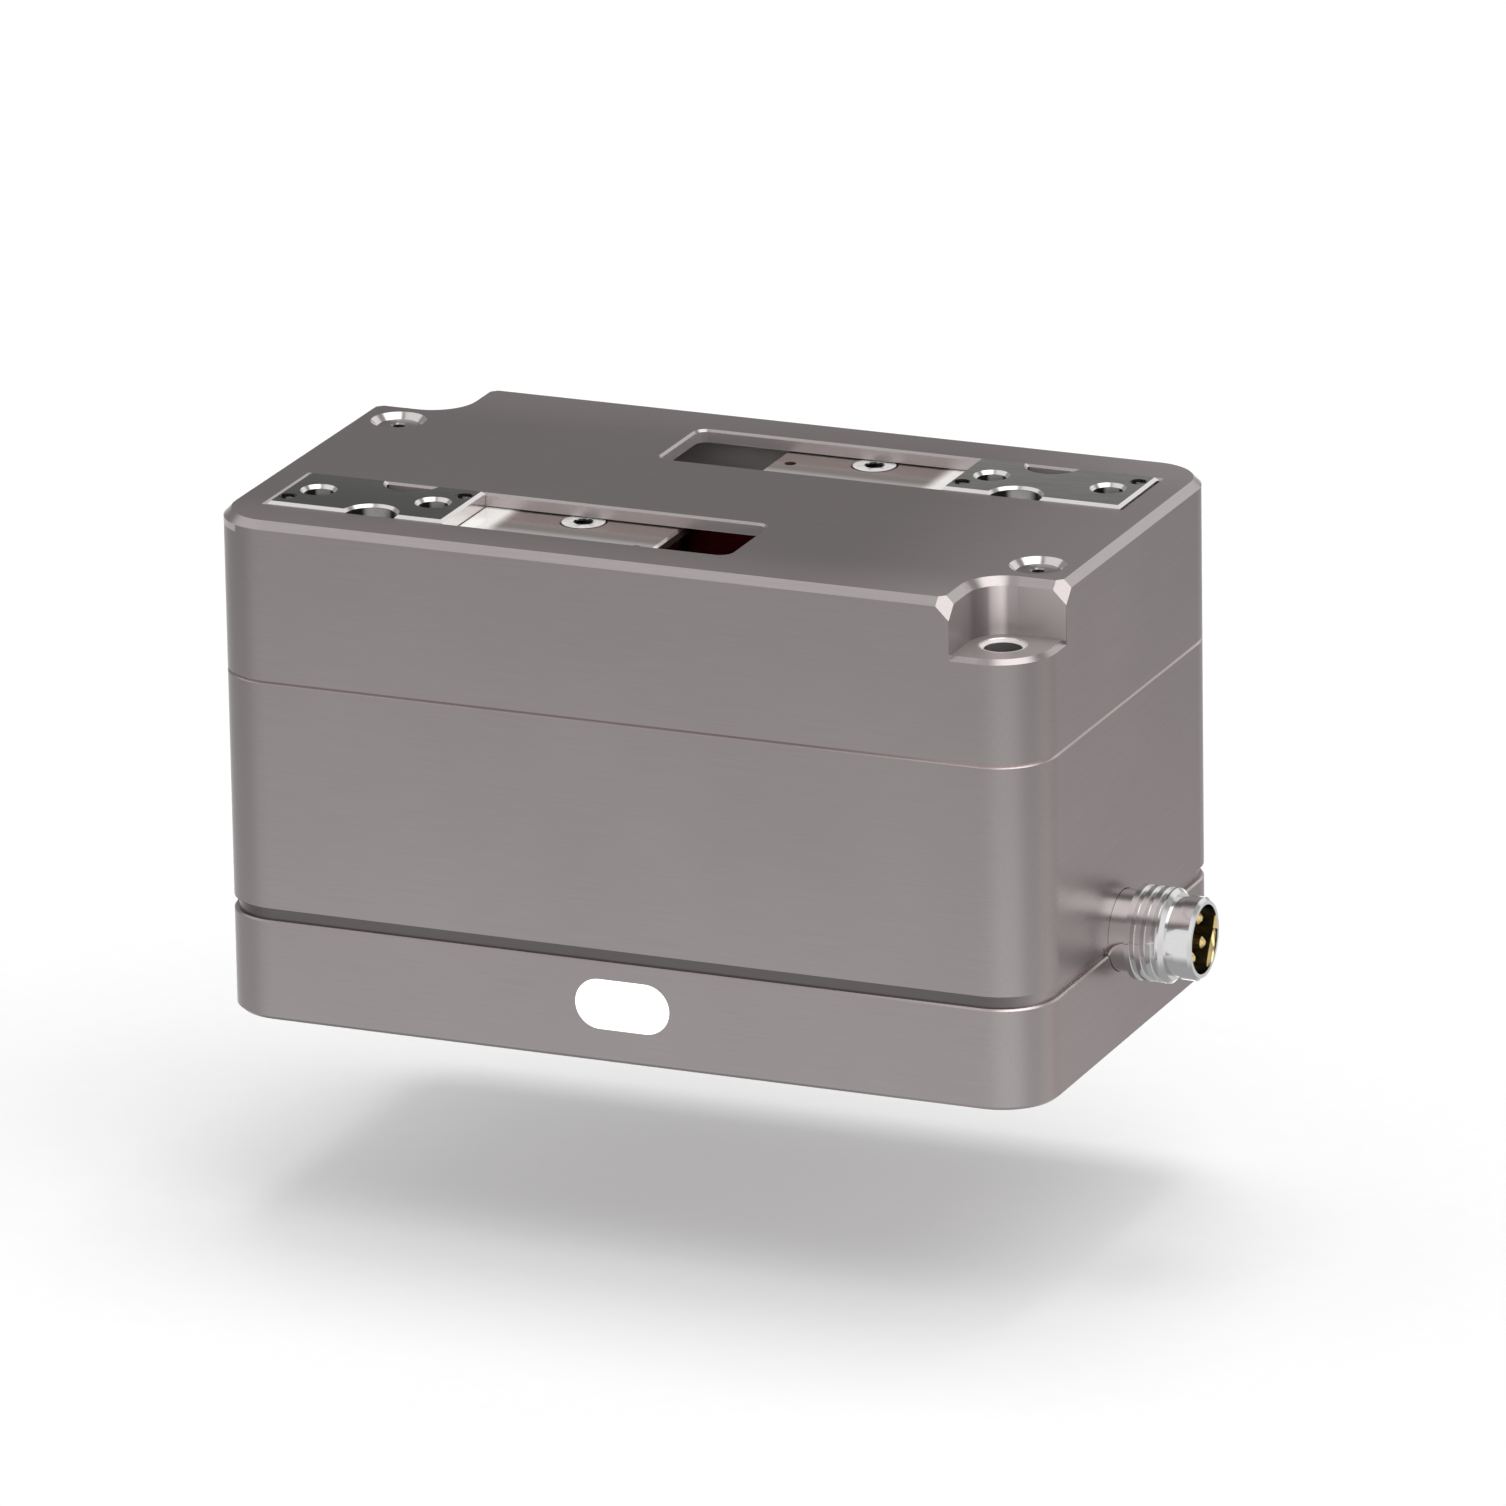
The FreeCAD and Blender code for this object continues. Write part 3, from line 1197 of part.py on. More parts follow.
keep(group("plate_screw_group", [screw("plate_screw%d" % index, "small_screw", "plate_screw_length",
                                       (centre[0], centre[1], "plate_bottom - small_screw_head_height"),
                                       upward, conical=False)
                                 for index, centre in enumerate(pillar_centres)]), "gear_plate_screws")

# Screws of the housing, the rails and the bridge

keep(group("cover_screw_group", [screw("cover_screw%d" % index, "cover_screw", "cover_screw_length",
                                       (centre[0], centre[1], "height - cover_screw_recess"))
                                 for index, centre in enumerate(cover_corners)]), "cover_screws")
keep(group("long_screw_group", [screw("long_screw%d" % index, "long_screw", "long_screw_length",
                                      (centre[0], centre[1], "long_screw_recess"), upward, conical=False)
                                for index, centre in enumerate(screw_corners)]), "housing_screws")
keep(group("rail_screw_group", [screw("rail_screw%d" % index, "small_screw", "rail_screw_length",
                                      (centre[0], centre[1], rail_top))
                                for index, centre in enumerate(rail_screw_centres)]), "rail_screws")
keep(group("bridge_screw_group", [screw("bridge_screw%d" % index, "small_screw", "bridge_screw_length",
                                        (centre[0], centre[1], "bridge_top"))
                                  for index, centre in enumerate(bridge_screw_centres)]), "bridge_screws")

# Connector: threaded shell, contact carrier and four contacts

plug_axis = ("plug_y", "plug_z")


def out(text):
    return "width / 2 + (%s)" % text


def shell_profile():
    """Half of the shell cut along its axis, as distances from the wall and from the axis."""
    inner, collar = size["plug_tail_radius"], size["plug_collar_radius"]
    flange_end = -size["plug_flange_start"]
    flange_start = flange_end - size["plug_flange_width"]
    thread, thread_start = size["plug_thread_radius"], size["plug_collar_length"]
    thread_end = thread_start + size["plug_thread_length"]
    neck, neck_end = size["plug_neck_radius"], size["plug_neck_end"]
    nose, tip = size["plug_nose_radius"], size["plug_length"]
    bore_end = tip - size["plug_bore_depth"]
    points = [(-size["plug_inside"], inner), (-size["plug_inside"], collar), (flange_start, collar),
              (flange_start, size["plug_flange_radius"]), (flange_end, size["plug_flange_radius"]),
              (flange_end, collar), (thread_start, collar), (thread_start, thread)]
    for groove in range(THREAD_GROOVES):
        middle = thread_start + size["plug_thread_runin"] + groove * size["plug_thread_pitch"]
        points += [(middle - size["plug_groove_half"], thread), (middle,
                                                                 thread - size["plug_thread_depth"]),
                   (middle + size["plug_groove_half"], thread)]
    points += [(thread_end, thread),
               (thread_end + size["plug_thread_chamfer"], thread - size["plug_thread_chamfer"]),
               (thread_end + size["plug_thread_chamfer"], neck), (neck_end, neck), (neck_end, nose),
               (tip - size["plug_nose_chamfer"], nose), (tip, nose - size["plug_nose_chamfer"]),
               (tip, size["plug_bore_radius"]), (bore_end, size["plug_bore_radius"]), (bore_end, inner)]
    return points


keep(turned_block("plug_shell", shell_profile(), out("0"), "plug_y", "plug_z"), "connector_shell")

contact_spots = []
for index in range(4):
    turn = math.radians(CONTACT_TURN + 90 * index)
    contact_spots.append(("plug_y + contact_circle * %.5f" % math.cos(turn),
                          "plug_z + contact_circle * %.5f" % math.sin(turn)))
insert_start = "plug_length - plug_bore_depth"
insert_end = insert_start + " + insert_length"
insert = rod("insert_rod", "plug_bore_radius - insert_gap", plug_axis, out(insert_start), out(insert_end),
             "x")
keep(cut("insert_cut", insert, [rod("insert_hole%d" % index, "contact_radius + insert_gap", spot,
                                    out(insert_start + " - over"), out(insert_end + " + over"), "x")
                                for index, spot in enumerate(contact_spots)]), "connector_insert")
contacts = []
for index, spot in enumerate(contact_spots):
    pin_end = "plug_length - contact_recess"
    contacts.append(join("contact%d" % index, [
        rod("contact_rod%d" % index, "contact_radius", spot, out(insert_start + " - contact_tail"),
            out(pin_end + " - contact_radius / 2"), "x"),
        cone("contact_tip%d" % index, "contact_radius", "contact_radius / 2", spot,
             out(pin_end + " - contact_radius / 2"), out(pin_end), "x")]))
keep(group("contact_group", contacts), "connector_contacts")

# Checks before the pieces are written

doc.recompute()
failed = [item.Name for item in doc.Objects if "Invalid" in item.State or "Error" in item.State]
failed += [item.Label for item in parts if item.Shape.isNull() or not item.Shape.isValid()]
failed += [item.Label for item in parts if not item.Shape.Solids]
if failed:
    raise RuntimeError("not built: " + ", ".join(failed))

os.makedirs("parts", exist_ok=True)
for item in parts:
    item.Shape.exportStep(os.path.join("parts", item.Label + ".step"))
    print(item.Label, len(item.Shape.Solids), round(item.Shape.Volume, 2))
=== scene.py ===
import json
import math

import bmesh
import bpy
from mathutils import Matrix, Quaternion, Vector


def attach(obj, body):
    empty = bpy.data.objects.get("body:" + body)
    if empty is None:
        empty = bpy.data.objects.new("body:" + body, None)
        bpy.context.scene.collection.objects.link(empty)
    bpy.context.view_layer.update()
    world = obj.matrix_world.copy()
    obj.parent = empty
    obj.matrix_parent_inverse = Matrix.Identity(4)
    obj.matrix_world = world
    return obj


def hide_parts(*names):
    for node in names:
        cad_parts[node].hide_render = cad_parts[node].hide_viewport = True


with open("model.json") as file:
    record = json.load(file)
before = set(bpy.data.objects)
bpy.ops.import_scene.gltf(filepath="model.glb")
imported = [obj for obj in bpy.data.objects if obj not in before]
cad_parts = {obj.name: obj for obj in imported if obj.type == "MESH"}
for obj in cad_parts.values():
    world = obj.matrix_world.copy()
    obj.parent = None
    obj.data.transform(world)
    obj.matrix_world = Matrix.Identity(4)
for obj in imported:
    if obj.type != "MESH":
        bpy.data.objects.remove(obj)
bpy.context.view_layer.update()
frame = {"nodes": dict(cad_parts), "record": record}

# Electric two finger gripper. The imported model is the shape, and this script adds
# the finishes, the detailed screws, the floor, the light and the camera. Metres.

MM = 0.001
nodes = frame["nodes"]
mounts = {mount["name"]: mount for mount in frame["record"]["mounts"]}
slot_of = {part["node"]: part["material_slot"] for part in frame["record"]["subparts"]}
body_of = {member: body for body, members in frame["record"]["behaviour"]["bodies"].items()
           for member in members}


# Sizes of the part, used to tell its inside, notches and edges from its skin

def high_corner(node):
    """The greatest x, y and z of a node."""
    return [max(corner[axis] for corner in nodes[node].bound_box) for axis in range(3)]


HOUSING_HALF_X, HOUSING_HALF_Y, HOUSING_TOP = high_corner("upper_housing")
BASE_TOP = high_corner("base_housing")[2]
WALL = 2.6 * MM
SKIN = 1.1 * MM
FLOOR_THICKNESS = 2.4 * MM
SLOT_DEPTH = 1.2 * MM
TOP_CHAMFER = 0.65 * MM
NOTCH = 7.3 * MM
NOTCH_DEPTH = 4.8 * MM
GROOVE_HEIGHT = 1.05 * MM
NEAR = 0.05 * MM

BORE_X, BORE_Y = (abs(value) for value in mounts["mounting_bore_right"]["pos_m"][:2])
BORE_RADIUS = mounts["mounting_bore_right"]["dims"]["r_mm"] * MM
RIM_FULL = 0.3 * MM
RIM_FADED = 0.5 * MM

COVER_SCREW_HEAD = 1.9 * MM
SINK_X, SINK_Y = (reach - COVER_SCREW_HEAD for reach in high_corner("cover_screws")[:2])
SINK_RADIUS = 2.45 * MM
SINK_DEPTH = 2 * MM
SINK_LIP = 0.02 * MM

JAW_LENGTH = 15.9 * MM
PLATE_EDGE = mounts["front_finger_face"]["pos_m"][0] + JAW_LENGTH / 2
PLATE_SKIN = 0.1 * MM
BRIGHT_LENGTH = 3.5 * MM

# Height of a surface's normal up to which it counts as a wall or as a slot's wall, and
# from which as level; then the heights, or X and Y shares, between which an effect fades in
WALL_TILT = 0.3
SLOT_TILT = 0.5
LEVEL_TILT = 0.97
LEVEL_FADED, LEVEL_FULL = 0.9, 0.98
SIDEWAYS_FADED, SIDEWAYS_FULL = 0.55, 0.8
FRONT_FADED, FRONT_FULL = 0.5, 0.95
RIGHT_SIDE = 0.9

# The housing's colours, and how much paler or darker its parts are than its skin; all but the skin's own
# two colours are painted light and shade
SKIN_DARK = (0.318, 0.288, 0.288)
SKIN_LIGHT = (0.345, 0.313, 0.313)
# Painted light: slots, notches and notch floors painted paler than the skin
RECESS_LIT_COLOUR = (0.52, 0.463, 0.463)
# Painted light: the inside of the housing painted paler than the skin
INSIDE_PAINTED_LIGHT = (0.5, 0.46, 0.46)
# Painted highlight: a pale ring round each mounting bore
BORE_RIM_HIGHLIGHT = (0.9, 0.85, 0.84)
# Painted highlight on the cover screws' countersinks
SINK_HIGHLIGHT = (0.72, 0.68, 0.67)
# Painted tint of the light on the right side and on the faces that are not upright
SIDE_PAINTED_TINT = (1.03, 0.965, 0.965)
LEVEL_PAINTED_TINT = (1.03, 0.985, 0.985)
# Painted light on the outer faces: walls paler at the foot and darker at the head, the right side darker
# to the rear, the top paler towards its right, rear and front rims
WALL_FOOT, WALL_HEAD = 1.12, 0.86
SIDE_REAR = 0.86
TOP_RIGHT, TOP_REAR, TOP_FRONT = 1.5, 1.25, 1.3
# Chamfers painted paler: a painted highlight
EDGE_HIGHLIGHT = 1.45
# Painted shade on the notch floors
LEDGE_SHADE = 0.75
# Painted shade in the groove above the base on the front
GROOVE_SHADE = 0.4
# Painted shade down the mounting bores
BORE_SHADE = 0.35
SKIN_ROUGHNESS = 0.33
ROUGHNESS_CHANGE = 0.03
GRAIN_PITCH, GRAIN_LENGTH, PATCH_SIZE = 0.13 * MM, 7 * MM, 14 * MM
BUMP_HEIGHT = 0.01 * MM

# The notch's wall, painted with light and dark reflection streaks and painted shade: direction, angles of
# no and of full effect, tone outside and inside them
NOTCH_PAINTED_STREAKS = (
    (0, 40, 10, 0.6, 0.84),
    (31, 17, 1, 1.0, 2.1),
    (66, 22, 4, 1.0, 0.66),
)

# The jaws' level faces at the front and at the rear, painted darker at the front and paler at the rear as
# painted light, the tone of their marks, and their sunk walls
JAW_FRONT_LIGHT, JAW_REAR_LIGHT = 0.6, 3.9
MARK_TONE = 0.8
WELL_SHINE = 0.55
# Painted shade on the sunk walls, and a painted highlight on those that face the front
WELL_SHADE = (0.045, 0.043, 0.04)
WELL_HIGHLIGHT = (0.95, 0.94, 0.92)

# Share of a noise's range that is used
NOISE_LOW, NOISE_HIGH = 0.3, 0.7


# Node helpers

def make(tree, kind, inputs=None, **settings):
    """Adds a node, sets its properties, and links or sets its inputs."""
    item = tree.nodes.new(kind)
    for name, value in settings.items():
        setattr(item, name, value)
    for name, value in (inputs or {}).items():
        if isinstance(value, bpy.types.NodeSocket):
            tree.links.new(value, item.inputs[name])
        else:
            item.inputs[name].default_value = value
    return item


def new_material(name):
    material = bpy.data.materials.new(name)
    material.use_nodes = True
    tree = material.node_tree
    tree.nodes.clear()
    shader = make(tree, "ShaderNodeBsdfPrincipled")
    output = make(tree, "ShaderNodeOutputMaterial")
    tree.links.new(shader.outputs["BSDF"], output.inputs["Surface"])
    return material, tree, shader


def maths(tree, operation, first, second=0.0, clamp=False):
    item = make(tree, "ShaderNodeMath", {0: first, 1: second}, operation=operation, use_clamp=clamp)
    return item.outputs[0]


def product(tree, *values):
    total = values[0]
    for value in values[1:]:
        total = maths(tree, "MULTIPLY", total, value)
    return total


def inverse(tree, share):
    return maths(tree, "SUBTRACT", 1.0, share)


def over(tree, value, limit):
    return maths(tree, "GREATER_THAN", value, limit)


def under(tree, value, limit):
    return maths(tree, "LESS_THAN", value, limit)


def spread(tree, value, low, high, to_low=0.0, to_high=1.0, **settings):
    item = make(tree, "ShaderNodeMapRange", {"Value": value, "From Min": low, "From Max": high,
                                             "To Min": to_low, "To Max": to_high}, **settings)
    return item.outputs["Result"]


def smooth(tree, value, low, high, to_low=0.0, to_high=1.0):
    return spread(tree, value, low, high, to_low, to_high, interpolation_type="SMOOTHSTEP")


def of_noise(tree, noise, to_low=0.0, to_high=1.0):
    """The used part of a noise's range, spread between two values."""
    return spread(tree, noise, NOISE_LOW, NOISE_HIGH, to_low, to_high)


def by_share(tree, share, at_zero, at_one):
    """A value that goes from one to the other as the share goes from zero to one."""
    return spread(tree, share, 0.0, 1.0, at_zero, at_one)


def blend_colour(tree, share, first, second):
    item = make(tree, "ShaderNodeMix", data_type="RGBA")
    for socket, value in ((item.inputs[0], share), (item.inputs[6], first), (item.inputs[7], second)):
        if isinstance(value, bpy.types.NodeSocket):
            tree.links.new(value, socket)
        elif isinstance(value, tuple):
            socket.default_value = (*value, 1.0)
        else:
            socket.default_value = value
    return item.outputs[2]


def scaled(tree, colour, factor):
    return make(tree, "ShaderNodeVectorMath", {0: colour, "Scale": factor}, operation="SCALE").outputs[0]


def toned(tree, colour, share, tone):
    """The colour times the tone, where the share is one."""
    return scaled(tree, colour, by_share(tree, share, 1.0, tone))


def tinted(tree, colour, share, tint):
    changed = make(tree, "ShaderNodeVectorMath", {0: colour, 1: tint}, operation="MULTIPLY").outputs[0]
    return blend_colour(tree, share, colour, changed)


def parts_of(tree, vector):
    return make(tree, "ShaderNodeSeparateXYZ", {0: vector}).outputs


def place_of(tree):
    return make(tree, "ShaderNodeTexCoord").outputs["Object"]


def normal_parts(tree, kind="Normal"):
    return parts_of(tree, make(tree, "ShaderNodeNewGeometry").outputs[kind])


def sine(angle):
    return math.sin(math.radians(angle))


def cosine(angle):
    return math.cos(math.radians(angle))


def facing(tree, azimuth, faded, full):
    """One where the surface faces that way round within the full angle, zero beyond the faded one."""
    parts = normal_parts(tree)
    across = maths(tree, "MULTIPLY", parts["X"], sine(azimuth))
    ahead = maths(tree, "MULTIPLY", parts["Y"], -cosine(azimuth))
    return smooth(tree, maths(tree, "ADD", across, ahead), cosine(faded), cosine(full))


def distance_from(tree, wide, deep, x, y):
    across = maths(tree, "POWER", maths(tree, "SUBTRACT", wide, x), 2.0)
    along = maths(tree, "POWER", maths(tree, "SUBTRACT", deep, y), 2.0)
    return maths(tree, "SQRT", maths(tree, "ADD", across, along))


def stretched_noise(tree, stretch):
    place = make(tree, "ShaderNodeVectorMath", {0: place_of(tree), 1: stretch}, operation="MULTIPLY")
    noise = make(tree, "ShaderNodeTexNoise", {"Vector": place.outputs[0], "Scale": 1.0, "Detail": 3.0,
                                              "Roughness": 0.6})
    return noise.outputs[0]


def brushed(tree, pitch, length):
    """Grain lines that run level round the walls and along X on the top."""
    across, along = 1.0 / pitch, 1.0 / length
    along_x = stretched_noise(tree, (along, across, across))
    along_y = stretched_noise(tree, (across, along, across))
    side = spread(tree, maths(tree, "ABSOLUTE", normal_parts(tree)["X"]), SIDEWAYS_FADED, SIDEWAYS_FULL)
    item = make(tree, "ShaderNodeMix", {0: side, 2: along_x, 3: along_y}, data_type="FLOAT")
    return item.outputs[0]


def cloud(tree, size, detail=3.0):
    return make(tree, "ShaderNodeTexNoise", {"Vector": place_of(tree), "Scale": 1.0 / size,
                                             "Detail": detail}).outputs[0]


def mix_of(tree, first, second, share):
    """Two values added up, the first with that share and the second with the rest."""
    return maths(tree, "ADD", maths(tree, "MULTIPLY", first, share),
                 maths(tree, "MULTIPLY", second, 1.0 - share))


def bump(tree, shader, height, strength, distance=BUMP_HEIGHT):
    item = make(tree, "ShaderNodeBump", {"Height": height, "Strength": strength, "Distance": distance})
    tree.links.new(item.outputs[0], shader.inputs["Normal"])


# Materials

def metal(name, dark, light, roughness, grain_pitch, grain_length, grain_bump, patch=9 * MM,
          roughness_change=0.05):
    """A metal with fine grain lines, a slow change of tone and uneven gloss."""
    material, tree, shader = new_material(name)
    grain = brushed(tree, grain_pitch, grain_length)
    mixed = mix_of(tree, grain, cloud(tree, patch), 0.65)
    tree.links.new(blend_colour(tree, of_noise(tree, mixed), dark, light), shader.inputs["Base Color"])
    shader.inputs["Metallic"].default_value = 1.0
    tree.links.new(of_noise(tree, mixed, roughness + roughness_change, roughness - roughness_change),
                   shader.inputs["Roughness"])
    bump(tree, shader, grain, grain_bump)
    return material


def housing_zones(tree):
    """Shares from zero to one for the parts of the housing that get their own painted light or shade,
    some with their own gloss too.
    """
    x, y, z = parts_of(tree, place_of(tree))
    wide, deep = maths(tree, "ABSOLUTE", x), maths(tree, "ABSOLUTE", y)
    tilt = maths(tree, "ABSOLUTE", normal_parts(tree, "True Normal")["Z"])
    upright = under(tree, tilt, WALL_TILT)
    sloped = under(tree, tilt, LEVEL_TILT)
    notched_corner = under(tree, maths(tree, "MULTIPLY", x, y), 0.0)
    ledge_height = HOUSING_TOP - NOTCH_DEPTH

    corner_room = product(tree, over(tree, wide, HOUSING_HALF_X - NOTCH - 2 * NEAR),
                          over(tree, deep, HOUSING_HALF_Y - NOTCH - NEAR),
                          over(tree, z, ledge_height - NEAR), notched_corner)
    notch = product(tree, corner_room, upright, under(tree, wide, HOUSING_HALF_X - NEAR),
                    under(tree, deep, HOUSING_HALF_Y - NEAR))
    ledge = product(tree, corner_room, over(tree, tilt, LEVEL_TILT), under(tree, z, ledge_height + NEAR))
    slot = product(tree, under(tree, wide, HOUSING_HALF_X - TOP_CHAMFER),
                   under(tree, deep, HOUSING_HALF_Y - TOP_CHAMFER),
                   over(tree, z, HOUSING_TOP - SLOT_DEPTH - NEAR), under(tree, tilt, SLOT_TILT))
    inside = product(tree, under(tree, wide, HOUSING_HALF_X - WALL + NEAR),
                     under(tree, deep, HOUSING_HALF_Y - WALL + NEAR),
                     under(tree, z, HOUSING_TOP - SKIN + NEAR), over(tree, z, FLOOR_THICKNESS - NEAR),
                     inverse(tree, corner_room))
    edge = product(tree, over(tree, tilt, WALL_TILT), sloped, over(tree, z, ledge_height - TOP_CHAMFER))
    facing_front = maths(tree, "MULTIPLY", normal_parts(tree)["Y"], -1.0)
    groove = product(tree, over(tree, z, BASE_TOP - GROOVE_HEIGHT), under(tree, z, BASE_TOP + NEAR),
                     upright, smooth(tree, facing_front, FRONT_FADED, FRONT_FULL))
    sink = product(tree, under(tree, distance_from(tree, wide, deep, SINK_X, SINK_Y), SINK_RADIUS),
                   under(tree, z, HOUSING_TOP - SINK_LIP), over(tree, z, HOUSING_TOP - SINK_DEPTH),
                   sloped, notched_corner)
    from_bore = distance_from(tree, wide, deep, BORE_X, BORE_Y)
    bore = product(tree, under(tree, from_bore, BORE_RADIUS + 2 * NEAR), upright)
    rim = product(tree, smooth(tree, from_bore, BORE_RADIUS + RIM_FADED, BORE_RADIUS + RIM_FULL),
                  inverse(tree, upright), under(tree, z, ledge_height + NEAR), notched_corner)
    recess_lit = maths(tree, "MAXIMUM", maths(tree, "MAXIMUM", slot, notch), ledge)
    return {"x": x, "y": y, "height": z, "upright": upright, "notch": notch, "ledge": ledge,
            "recess_lit": recess_lit, "inside": inside, "edge": edge, "groove": groove, "sink": sink,
            "bore": bore, "rim": rim}


def painted_skin_light(tree, zones, side):
    """Painted light on the outer faces, as a factor by place: low walls and the top's rims are painted
    pale, high walls darker, the right side darker to the rear.
    """
    wall = spread(tree, zones["height"], 0.0, HOUSING_TOP, WALL_FOOT, WALL_HEAD)
    along_side = smooth(tree, zones["y"], -HOUSING_HALF_Y, HOUSING_HALF_Y, 1.0, SIDE_REAR)
    wall = maths(tree, "MULTIPLY", wall, by_share(tree, side, 1.0, along_side))
    top = product(tree, smooth(tree, zones["x"], 0.4 * HOUSING_HALF_X, HOUSING_HALF_X, 1.0, TOP_RIGHT),
                  smooth(tree, zones["y"], 0.5 * HOUSING_HALF_Y, HOUSING_HALF_Y, 1.0, TOP_REAR),
                  smooth(tree, zones["y"], -0.6 * HOUSING_HALF_Y, -HOUSING_HALF_Y, 1.0, TOP_FRONT))
    return by_share(tree, zones["upright"], top, wall)


def notch_painted_streaks(tree):
    """Painted reflection on the notch's wall: mid grey, with a painted dark and a painted light streak
    down its round corner.
    """
    return product(tree, *(by_share(tree, facing(tree, azimuth, faded, full), outside, inside)
                           for azimuth, faded, full, outside, inside in NOTCH_PAINTED_STREAKS))


def housing_metal(name):
    """Satin anodised metal with faint level grain, with painted light, shade and highlights by place."""
    material, tree, shader = new_material(name)
    zones = housing_zones(tree)
    grain = brushed(tree, GRAIN_PITCH, GRAIN_LENGTH)
    mixed = mix_of(tree, grain, cloud(tree, PATCH_SIZE), 0.6)
    side = over(tree, normal_parts(tree)["X"], RIGHT_SIDE)

    skin = blend_colour(tree, of_noise(tree, mixed), SKIN_DARK, SKIN_LIGHT)
    # Painted light by place on the outer faces
    colour = scaled(tree, skin, painted_skin_light(tree, zones, side))
    # Painted tint of the light on the right side and on the faces that are not upright
    colour = tinted(tree, colour, side, SIDE_PAINTED_TINT)
    colour = tinted(tree, colour, inverse(tree, zones["upright"]), LEVEL_PAINTED_TINT)
    # Painted highlight on the chamfers
    colour = blend_colour(tree, zones["edge"], colour, scaled(tree, skin, EDGE_HIGHLIGHT))
    # Painted light in the slots, notches and notch floors, which are also made less metallic
    colour = blend_colour(tree, zones["recess_lit"], colour, RECESS_LIT_COLOUR)
    # Painted reflection streaks and painted shade on the notch's wall
    colour = toned(tree, colour, zones["notch"], notch_painted_streaks(tree))
    # Painted shade on the notch floors
    colour = toned(tree, colour, zones["ledge"], LEDGE_SHADE)
    # Painted light inside the housing
    colour = blend_colour(tree, zones["inside"], colour, INSIDE_PAINTED_LIGHT)
    # Painted shade in the groove above the base on the front
    colour = toned(tree, colour, zones["groove"], GROOVE_SHADE)
    # Painted shade down the mounting bores
    colour = toned(tree, colour, zones["bore"], BORE_SHADE)
    # Painted highlight: a pale ring round each mounting bore
    colour = blend_colour(tree, zones["rim"], colour, BORE_RIM_HIGHLIGHT)
    # Painted highlight on the cover screws' countersinks
    colour = blend_colour(tree, zones["sink"], colour, SINK_HIGHLIGHT)
    tree.links.new(colour, shader.inputs["Base Color"])

    shine = inverse(tree, maths(tree, "MULTIPLY", zones["inside"], 0.85))
    shine = maths(tree, "SUBTRACT", shine, maths(tree, "MULTIPLY", zones["recess_lit"], 0.6), clamp=True)
    tree.links.new(shine, shader.inputs["Metallic"])

    rough = of_noise(tree, mixed, SKIN_ROUGHNESS + ROUGHNESS_CHANGE, SKIN_ROUGHNESS - ROUGHNESS_CHANGE)
    polish = maths(tree, "ADD", zones["edge"], maths(tree, "MULTIPLY", zones["sink"], 2.0))
    rough = maths(tree, "SUBTRACT", rough, maths(tree, "MULTIPLY", polish, 0.07))
    tree.links.new(maths(tree, "ADD", rough, maths(tree, "MULTIPLY", zones["inside"], 0.2)),
                   shader.inputs["Roughness"])
    bump(tree, shader, grain, 0.06)
    return material


def level_share(tree):
    """One on level faces and zero on edges and walls."""
    return spread(tree, maths(tree, "ABSOLUTE", normal_parts(tree)["Z"]), LEVEL_FADED, LEVEL_FULL)


def two_faced_metal(name, top, side, top_roughness, side_roughness, well=None):
    """Polished metal whose edges are painted paler than its level faces as a painted highlight, and whose
    level faces are painted paler to the rear.

    Below the height of a well, walls are painted dark as painted shade, save those that face the front,
    which get a painted highlight, and those that face straight sideways.
    """
    material, tree, shader = new_material(name)
    _, y, z = parts_of(tree, place_of(tree))
    level = level_share(tree)
    mark = stretched_noise(tree, (300.0, 3000.0, 300.0))
    shade = tuple(MARK_TONE * part for part in top)
    face = blend_colour(tree, spread(tree, mark, 0.35, 0.65), shade, top)
    # Painted light: level faces paler to the rear
    face = scaled(tree, face, smooth(tree, y, -HOUSING_HALF_Y, HOUSING_HALF_Y,
                                     JAW_FRONT_LIGHT, JAW_REAR_LIGHT))
    # Edges painted paler than the level faces: a painted highlight
    colour = blend_colour(tree, level, side, face)
    shader.inputs["Metallic"].default_value = 1.0
    if well:
        upright = under(tree, maths(tree, "ABSOLUTE", normal_parts(tree)["Z"]), WALL_TILT)
        outside = maths(tree, "MAXIMUM", facing(tree, 90, 5, 2), facing(tree, -90, 5, 2))
        sunk = product(tree, under(tree, z, well), upright, inverse(tree, outside))
        tree.links.new(by_share(tree, sunk, 1.0, WELL_SHINE), shader.inputs["Metallic"])
        # Painted shade on the sunk walls, and a painted highlight on those that face the front
        wall = blend_colour(tree, facing(tree, 5, 38, 20), WELL_SHADE, WELL_HIGHLIGHT)
        colour = blend_colour(tree, sunk, colour, wall)
    tree.links.new(colour, shader.inputs["Base Color"])
    gloss = of_noise(tree, cloud(tree, 3 * MM), 0.0, 0.05)
    tree.links.new(maths(tree, "ADD", by_share(tree, level, side_roughness, top_roughness), gloss),
                   shader.inputs["Roughness"])
    bump(tree, shader, mark, 0.04)
    return material


def screw_metal(name, face, side):
    """Level faces painted bright as a painted highlight, against rims and socket walls painted dark as
    painted shade, lightly turned.
    """
    material, tree, shader = new_material(name)
    level = level_share(tree)
    turned = cloud(tree, 0.5 * MM)
    # Painted highlight on the level faces and painted shade on the rims and socket walls
    colour = blend_colour(tree, level, side, face)
    tree.links.new(scaled(tree, colour, of_noise(tree, turned, 0.88, 1.08)), shader.inputs["Base Color"])
    tree.links.new(by_share(tree, level, 1.0, 0.35), shader.inputs["Metallic"])
    tree.links.new(of_noise(tree, turned, 0.22, 0.16), shader.inputs["Roughness"])
    return material


